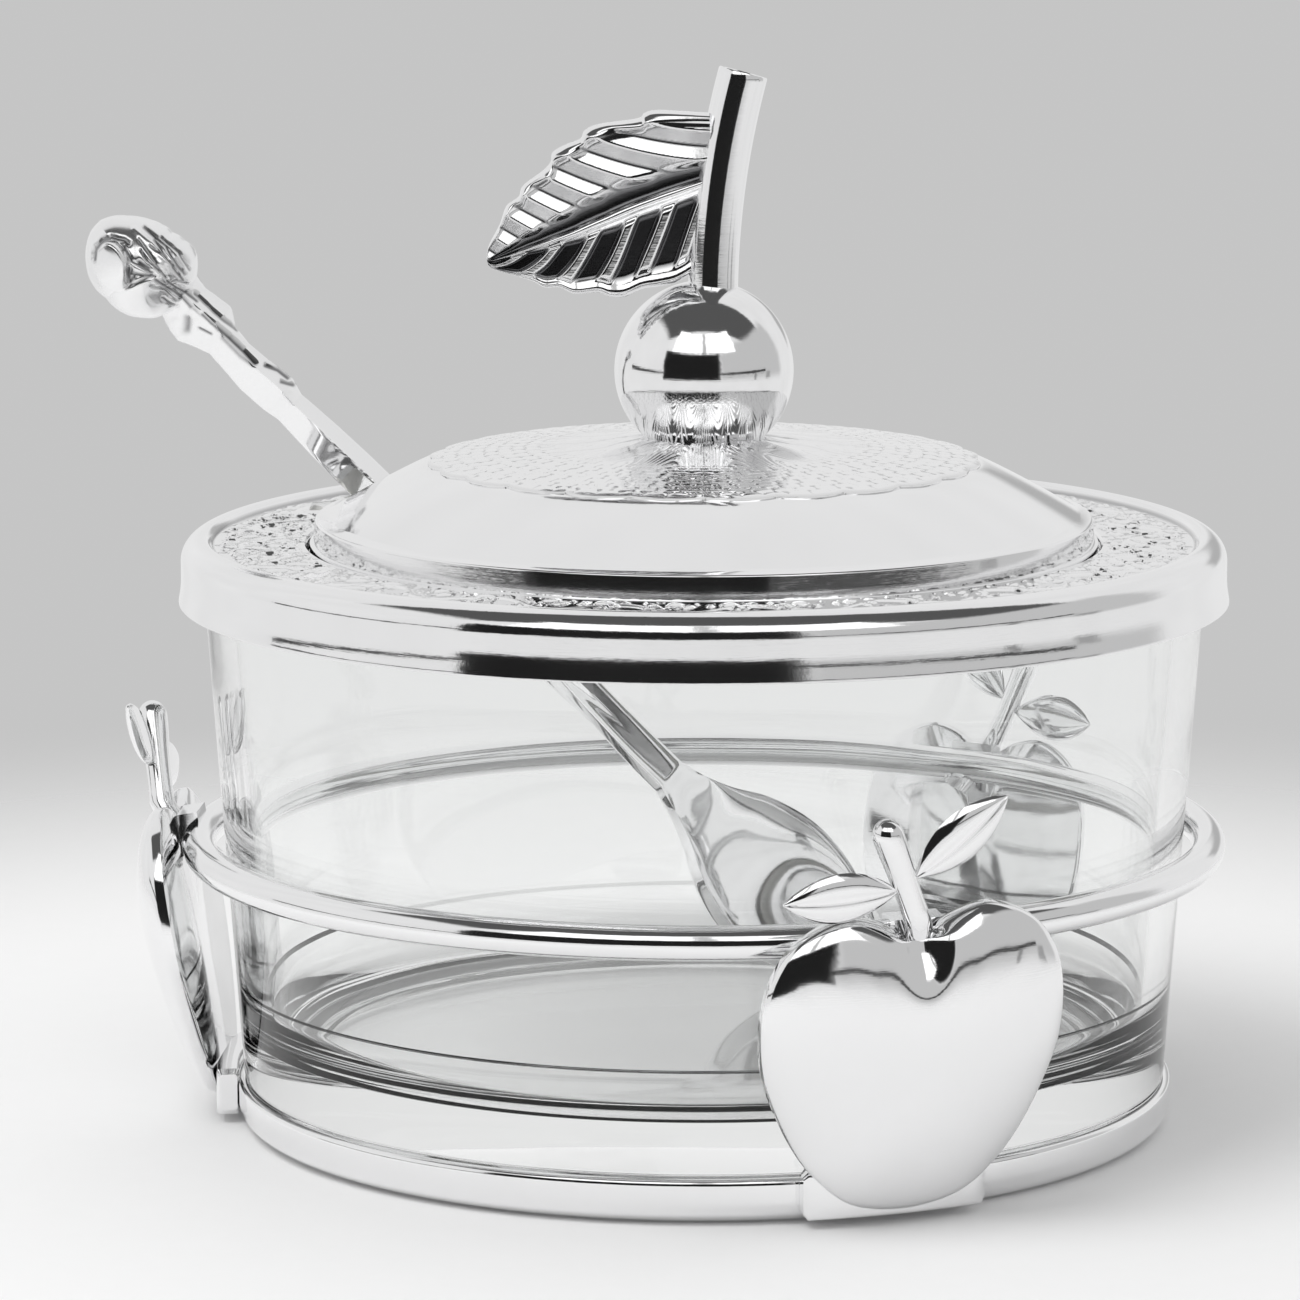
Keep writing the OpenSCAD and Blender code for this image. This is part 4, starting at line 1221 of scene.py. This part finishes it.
@dataclass
class Spoon:
    """The spoon with its cast rose."""

    at: Triple = (-37.6, 25.0, 66.2)
    tilt: float = 44.5
    roll: float = 45.0
    inner: float = 79.0
    outer: float = 36.0
    scoop_l: float = 31.0
    scoop_w: float = 19.0
    depth: float = 4.6
    rim: float = 0.9
    handle_w: float = 4.6
    handle_t: float = 2.8
    flower_r: float = 5.8
    lift: float = 1.7
    cut: float = 0.42
    faces: Sequence[Pair] = ((12.0, 0.79), (107.0, 1.58), (317.0, 2.5), (137.0, 2.55), (227.0, 1.5))
    # Half widths of the rose in a front view, from the right and round by the top
    outline: Sequence[Pair] = (
        (-180, 6.1), (-165, 5.95), (-149, 5.7), (-136, 5.42), (-117, 5.73), (-103, 5.91), (-90, 5.99),
        (-74, 6.24), (-60, 6.2), (-30, 6.3), (0, 6.42), (15, 6.35), (28, 5.69), (45, 5.11), (62, 5.11),
        (78, 5.15), (90, 5.33), (104, 5.62), (119, 6.24), (132, 6.68), (146, 6.68), (162, 6.4), (180, 6.1),
    )
    grow_at: Sequence[float] = (0, 5.4, 7.1, 8.9, 10.7, 12.5, 15, 17.8, 20, 21.4, 23.2, 28.6, 33.6)
    grow_up: Sequence[float] = (1.3, 1.4, 1.25, 1.36, 1.45, 0.95, 0.82, 0.9, 1.05, 1.05, 0.82, 0.93, 0.98)
    grow_low: Sequence[float] = (1.0, 1.02, 1.3, 1.45, 1.1, 0.82, 0.9, 1.02, 0.98, 0.94, 0.8, 0.93, 0.98)
    # Each stroke: its line in a front view from the middle of the rose, width, depth, and how strong the
    # painted shade along it is
    strokes: Sequence[tuple] = (
        (((-4.8, 1.1), (-4.6, 2.3), (-3.9, 3.2), (-3.0, 3.6), (-1.4, 3.3), (-0.9, 2.9)), 0.32, 0.7, 0.8),
        (((-0.85, 0.2), (-0.75, -1.5)), 0.36, 0.5, 0.8),
        (((-0.7, -0.2), (-0.1, -0.6), (-0.6, -1.1)), 0.42, 0.6, 0.8),
        (((0.0, -0.5), (1.9, -0.75)), 0.3, 0.4, 0.85),
        (((1.5, 2.6), (3.4, 1.2), (5.0, -1.4)), 0.16, 0.3, 0.8),
        (((2.6, 3.4), (4.6, 1.7), (5.7, -0.3)), 0.15, 0.3, 0.6),
        (((0.5, 2.2), (1.2, 1.0), (2.6, -0.1)), 0.16, 0.4, 0.9),
        (((3.2, -1.9), (4.3, -1.3), (5.4, -1.9)), 0.15, 0.3, 0.7),
        (((4.1, -2.4), (6.2, -4.9), (8.0, -6.4)), 0.16, 0.3, 0.7),
        (((1.6, -1.9), (3.1, -2.4), (4.1, -3.6)), 0.15, 0.3, 0.6),
        (((-1.4, 2.7), (-0.5, 0.9), (1.8, -0.35)), 0.22, 0.45, 0.9),
        (((0.7, 4.5), (3.2, 2.5), (5.2, -0.7)), 0.2, 0.35, 0.8),
        (((-0.35, 4.3), (2.1, 2.3), (3.75, 0.5)), 0.3, -0.35, 0.0),
        (((0.35, 0.9), (1.4, 0.2)), 0.28, 0.5, 1.0),
        (((1.9, 3.2), (4.3, 0.0)), 0.18, 0.3, 0.7),
        (((0.2, 3.3), (1.5, 1.7), (3.3, -1.0)), 0.18, 0.35, 0.8),
        (((-1.25, -2.1), (0.6, -1.2), (2.1, -0.7)), 0.2, 0.35, 0.6),
        (((2.2, -1.2), (4.0, -2.6), (5.7, -4.6)), 0.22, 0.4, 0.9),
        (((3.4, -1.4), (5.2, -3.0), (6.4, -4.0)), 0.2, 0.35, 0.9),
        (((2.9, -3.4), (3.9, -4.4)), 0.25, 0.4, 0.8),
        (((5.2, -6.1), (5.0, -7.5)), 0.5, 0.7, 0.7),
        (((6.1, -3.2), (8.3, -5.3), (10.7, -7.5)), 0.2, 0.35, 0.7),
        (((7.1, -5.4), (10.0, -8.2), (12.9, -11.1)), 0.24, 0.4, 0.9),
        (((9.3, -8.2), (11.2, -10.2), (12.5, -11.1)), 0.36, 0.4, 0.6),
        (((6.6, -7.1), (7.9, -7.7)), 0.2, 0.35, 0.9),
        (((13.9, -11.4), (15.3, -12.0), (16.4, -12.9)), 0.24, 0.4, 0.9),
        (((15.7, -13.2), (17.0, -13.7)), 0.22, 0.35, 0.8),
    )

    def frame(self) -> Matrix:
        """The place of the spoon in the pot."""
        return (
            Matrix.Translation(self.at)
            @ turned(-(90 - self.tilt), "Y")
            @ turned(-(90 + self.roll), "Z")
            @ Matrix.Translation((0, 0, -self.inner))
        )

    def stations(self) -> np.ndarray:
        """Distance from the tip, half width, hollow, depth of the back, and lift."""
        s, w, d, t, h = self.scoop_l / 37, self.scoop_w, self.depth, self.handle_t, self.handle_w
        full = self.inner + self.outer
        return curve([
            (0, w * 0.04, 0, 0.3, self.lift), (1.2 * s, w * 0.13, 0.3, 0.8, self.lift * 0.9),
            (5 * s, w * 0.3, d * 0.4, d * 0.5 + 0.5, self.lift * 0.6),
            (11 * s, w * 0.45, d * 0.82, d + 0.3, self.lift * 0.3),
            (18 * s, w * 0.5, d, d + 0.8, 0.2), (25 * s, w * 0.41, d * 0.75, d * 0.85 + 0.8, 0),
            (31 * s, w * 0.24, d * 0.3, d * 0.5 + 1, 0),
            (self.scoop_l, h * 0.58, -t * 0.2, t * 0.6, 0),
            (self.scoop_l + 6, h * 0.5, -t * 0.32, t * 0.45, 0),
            (self.inner + 7, h * 0.5, -t * 0.32, t * 0.4, 0),
            (full - 24, h * 0.62, -t * 0.5, t * 0.45, 0), (full - 18, h * 0.66, -t * 0.55, t * 0.5, 0),
            (full - 12, h * 0.85, -t * 0.8, t * 0.6, 0), (full - 9, h * 0.92, -t * 0.9, t * 0.7, 0),
            (full - 5, h * 0.75, -t * 0.8, t * 0.7, 0), (full - 1, h * 0.6, -t * 0.6, t * 0.6, 0),
        ], 10)

    def bar(self, angle: np.ndarray) -> np.ndarray:
        """Radius of the handle's bar, whose section has four soft corners, at an angle."""
        near = sum(np.clip(np.cos(angle - math.radians(a)) / d, 0, None) ** 26 for a, d in self.faces)
        return near ** (-1 / 26)

    def shaft(self) -> Mesh:
        """The bowl and the handle, whose section turns from flat to a bar with a ridge."""
        full = self.inner + self.outer
        table = self.stations()
        places = np.concatenate([np.linspace(0, full - 27, 170), np.linspace(full - 26.8, full - 2, 150)])
        rings = []
        a = np.radians(np.linspace(-90, 90, 49))
        for z in places:
            w, d, b, up = (np.interp(z, table[:, 0], table[:, k]) for k in (1, 2, 3, 4))
            top = np.stack([w * np.sin(a), up + self.rim / 2 - d * np.cos(a)], 1)
            low = np.stack([w * np.sin(a), up - self.rim / 2 - b * np.cos(a)], 1)[::-1]
            ring = np.concatenate([top, low])
            turn = np.arctan2(ring[:, 1] + 0.01, ring[:, 0])
            far, near = (np.interp(full - z, self.grow_at, g) for g in (self.grow_up, self.grow_low))
            bar = self.bar(turn)[:, None] * np.stack([np.cos(turn), np.sin(turn)], 1)
            side = np.clip((bar[:, 1] - bar[:, 0]) / 5 + 0.5, 0, 1)[:, None]
            bar = bar * 0.96 * (near + (far - near) * side)
            turn_in = float(smooth(np.array(z), self.scoop_l + 3, self.scoop_l + 26))
            ring = ring * (1 - turn_in) + bar * turn_in
            rings.append(np.column_stack([ring, np.full(len(ring), z)]))
        return loft(np.array(rings))

    def flower(self) -> Mesh:
        """The body of the rose on the end, with its outline and its large petal."""
        full = self.inner + self.outer
        rings = []
        a = np.radians(np.arange(0, 360, 1.25))
        world = np.array(self.frame().to_3x3())
        table = np.array(self.outline)
        for t in np.radians(np.linspace(-84, 87, 180)):
            way = np.stack([math.cos(t) * np.cos(a), math.cos(t) * np.sin(a), 0 * a + math.sin(t)], 1)
            seen = way @ world.T
            wide = np.interp(np.degrees(np.arctan2(seen[:, 2], seen[:, 0])), table[:, 0], table[:, 1])
            flat = np.hypot(seen[:, 0], seen[:, 2]) ** 2
            r = self.flower_r + (wide - self.flower_r) * flat
            u, v = r * seen[:, 0], r * seen[:, 2]
            petal = smooth(1 - ((u + 2.75) / 2.1) ** 2 - ((v - 0.1) / 3.1) ** 2, 0.0, 0.5)
            r = r + petal * (seen[:, 1] < 0) * 0.3 * np.clip(v + 2.6, 0, None)
            rings.append(way * r[:, None] + np.array([0, 0, full]))
        return loft(np.array(rings))

    def carved(self, shape: Mesh, centre: bool) -> Mesh:
        """Cuts the strokes of the rose and its leaves into a mesh, as they lie in a front view, and paints
        shade along them.

        Args:
            shape: The mesh in the spoon's own frame.
            centre: Whether it grows from the middle of the rose or from the handle's line.

        Returns:
            The carved mesh in the pot's frame.
        """
        full = self.inner + self.outer
        out = shape.points - np.array([0, 0, full])
        if not centre:
            out[:, 2] = 0
        out /= np.maximum(np.linalg.norm(out, axis=1), 1e-6)[:, None]
        place = self.frame()
        turn = np.array(place.to_3x3())
        moved = shape.moved(place)
        heart = np.array(place @ Vector((0, 0, full)))
        u, v = moved.points[:, 0] - heart[0], moved.points[:, 2] - heart[2]
        lift, shade_mask = np.zeros(len(u)), np.zeros(len(u))
        for line, wide, cut_in, stroke_shade in self.strokes:
            far = np.full(len(u), 1e3)
            for (x0, y0), (x1, y1) in zip(line, line[1:]):
                dx, dy = x1 - x0, y1 - y0
                t = np.clip(((u - x0) * dx + (v - y0) * dy) / (dx * dx + dy * dy), 0, 1)
                far = np.minimum(far, np.hypot(u - x0 - t * dx, v - y0 - t * dy))
            mark = np.exp(-((far / wide) ** 2))
            lift -= self.cut * cut_in * mark
            # Painted shade along each stroke.
            shade_mask = np.maximum(shade_mask, stroke_shade * mark ** 1.5)
        grain = smooth(-(moved.points[:, 0] - heart[0]), -15.0, 1.0) if not centre else smooth(u, 0.5, 3.5)
        lift += 0.035 * grain * np.sin(2.9 * (u - v) + 1.5 * np.sin(1.1 * (u + v))) * np.cos(1.3 * (u + v))
        out = out @ turn.T
        return Mesh(moved.points + out * lift[:, None], shape.faces, shade_mask)

    def build(self, shop: Workshop) -> None:
        """Builds and places the spoon."""
        shaft, rose = self.carved(self.shaft(), False), self.carved(self.flower(), True)
        shop.place(shaft.build("spoon_cast", 50), Body.SPOON, Slot.SPOON, ["spoon"])
        made = shop.place(rose.build("rose_cast", 50), Body.SPOON, Slot.SPOON, ["spoon"])
        made.data.materials[0] = shop.satin


# ---------------------------------------------------------------- studio


@dataclass(frozen=True)
class Zone:
    """A soft-edged patch of the studio's surroundings, in degrees as the pot sees it."""

    high: Pair
    aside: Pair
    light: float
    soft: float = 2.0


@dataclass
class Studio:
    """The floor, the light and the camera."""

    backdrop: float = 0.56
    through: float = 0.8
    level: float = 0.82
    roof: Pair = (57.0, 106.0)
    roof_light: float = 0.09
    distance: float = 712.0
    elevation: float = 9.58
    aim_z: float = 51.72
    lens: float = 180.0
    sensor: float = 36.0
    axis_px: float = 704.0
    frame_px: float = 1300.0
    zones: Sequence[Zone] = (
        Zone((-6.6, 27.0), (-54.0, 22.0), 0.012),
        Zone((-6.0, 38.0), (22.0, 116.0), 0.55, 9.0),
        Zone((-7.0, -1.0), (68.0, 71.0), 0.25, 1.5),
        Zone((-7.0, -1.0), (87.0, 94.0), 0.35, 2.0),
        Zone((-0.6, 2.2), (-106.0, -50.0), 0.03, 1.0),
        Zone((-0.6, 2.2), (20.0, 86.0), 0.03, 1.0),
        Zone((27.0, 54.0), (-46.0, 46.0), 1.35),
        Zone((27.0, 54.0), (-2.5, 2.5), 0.5, 2.0),
        Zone((2.0, 12.0), (150.0, 172.0), 0.45, 5.0),
    )

    def camera(self) -> None:
        """A camera at the photograph's place and angle."""
        data = bpy.data.cameras.new("camera")
        data.lens, data.sensor_width = self.lens, self.sensor
        data.shift_x = -(self.axis_px / self.frame_px - 0.5)
        data.clip_start = 0.01
        made = bpy.data.objects.new("camera", data)
        tilt = math.radians(self.elevation)
        made.location = Vector((
            0, -self.distance * math.cos(tilt), self.aim_z + self.distance * math.sin(tilt)
        )) * MM
        made.rotation_euler = (math.pi / 2 - tilt, 0, 0)
        bpy.context.scene.collection.objects.link(made)
        bpy.context.scene.camera = made

    def floor(self) -> None:
        """A pale floor that carries the shadow and fades into the backdrop."""
        rings = [0.0, 60, 150, 300, 500]
        angle = np.radians(np.arange(0, 360, 5))
        points = [(0, 0, 0)] + [(r * math.cos(a), r * math.sin(a), 0) for r in rings[1:] for a in angle]
        n = len(angle)
        faces = [[0, 1 + j, 1 + (j + 1) % n] for j in range(n)]
        faces += [[1 + i for i in f] for f in net(len(rings) - 1, n)]
        made = Mesh(np.array(points, float), faces).build("studio_floor")
        made.data.materials.append(Board("pale_board").build())

    def world(self) -> None:
        """Soft even light, two soft boxes at the front, and the dark room round them."""
        world = bpy.data.worlds.new("studio")
        world.use_nodes = True
        bpy.context.scene.world = world
        g = Graph(world.node_tree)
        way = g.add("ShaderNodeTexCoord", output="Generated")
        parts = g.add("ShaderNodeSeparateXYZ", {}, {0: way}).socket.node
        x, y, z = (Wave(g, parts.outputs[k]) for k in range(3))
        rough = (g.noise(way, 9.0, 3.0) - 0.5) * 5.0
        high = g.math("ARCSINE", z) * (180 / math.pi) + rough * 0.15
        aside = g.math("ARCTAN2", x, y * -1.0) * (180 / math.pi) + rough
        over = g.math("ARCTAN2", z, y * -1.0) * (180 / math.pi) + rough * 0.4
        cloud = self.level + (g.noise(way, 3.0, 2.0) - 0.5) * 0.12
        light = g.add("ShaderNodeCombineColor", {}, {0: cloud, 1: cloud, 2: cloud})
        ceiling = g.band(over, *self.roof, 4.0) * g.band(x, -0.66, 0.8, 0.1)
        light = g.mix(ceiling, light, (self.roof_light,) * 3)
        for zone in self.zones:
            on = g.band(high, *zone.high, zone.soft) * g.band(aside, *zone.aside, zone.soft)
            light = g.mix(on, light, (zone.light,) * 3)
        ray = g.add("ShaderNodeLightPath").socket.node
        plain = (self.level,) * 3
        shown = g.mix(Wave(g, ray.outputs["Is Glossy Ray"]), plain, light)
        shown = g.mix(Wave(g, ray.outputs["Is Transmission Ray"]), shown, (self.through,) * 3)
        shown = g.mix(Wave(g, ray.outputs["Is Camera Ray"]), shown, (self.backdrop,) * 3)
        glow = g.add("ShaderNodeBackground", {}, {"Color": shown, "Strength": 1.0})
        g.end("ShaderNodeOutputWorld", glow)

    def lamp(self) -> None:
        """A large soft lamp above the front left, for the soft shadow."""
        data = bpy.data.lights.new("soft_lamp", "AREA")
        data.shape, data.size, data.energy = "DISK", 0.7, 5.0
        made = bpy.data.objects.new("soft_lamp", data)
        made.location = (-0.45, -0.35, 1.0)
        made.rotation_euler = (Vector((0, 0, 0.03)) - made.location).to_track_quat("-Z", "Y").to_euler()
        made.visible_glossy = False
        bpy.context.scene.collection.objects.link(made)

    def build(self) -> None:
        """Sets up the whole studio."""
        bpy.context.scene.view_settings.view_transform = "Standard"
        self.camera()
        self.floor()
        self.world()
        self.lamp()


def main() -> None:
    """Builds every sub-assembly in order."""
    logging.basicConfig(level=logging.INFO, format="%(message)s")
    shop = Workshop()
    parts = [
        Stand(), Apple("apple_front", 22.0), Apple("apple_back", 144.0), Apple("apple_left", 266.0),
        Bowl(), Collar(), Lid(), Knob(), Spoon(),
    ]
    for part in parts:
        part.build(shop)
        LOG.info("%s done", type(part).__name__)
    Studio().build()


if __name__ == "__main__":
    main()
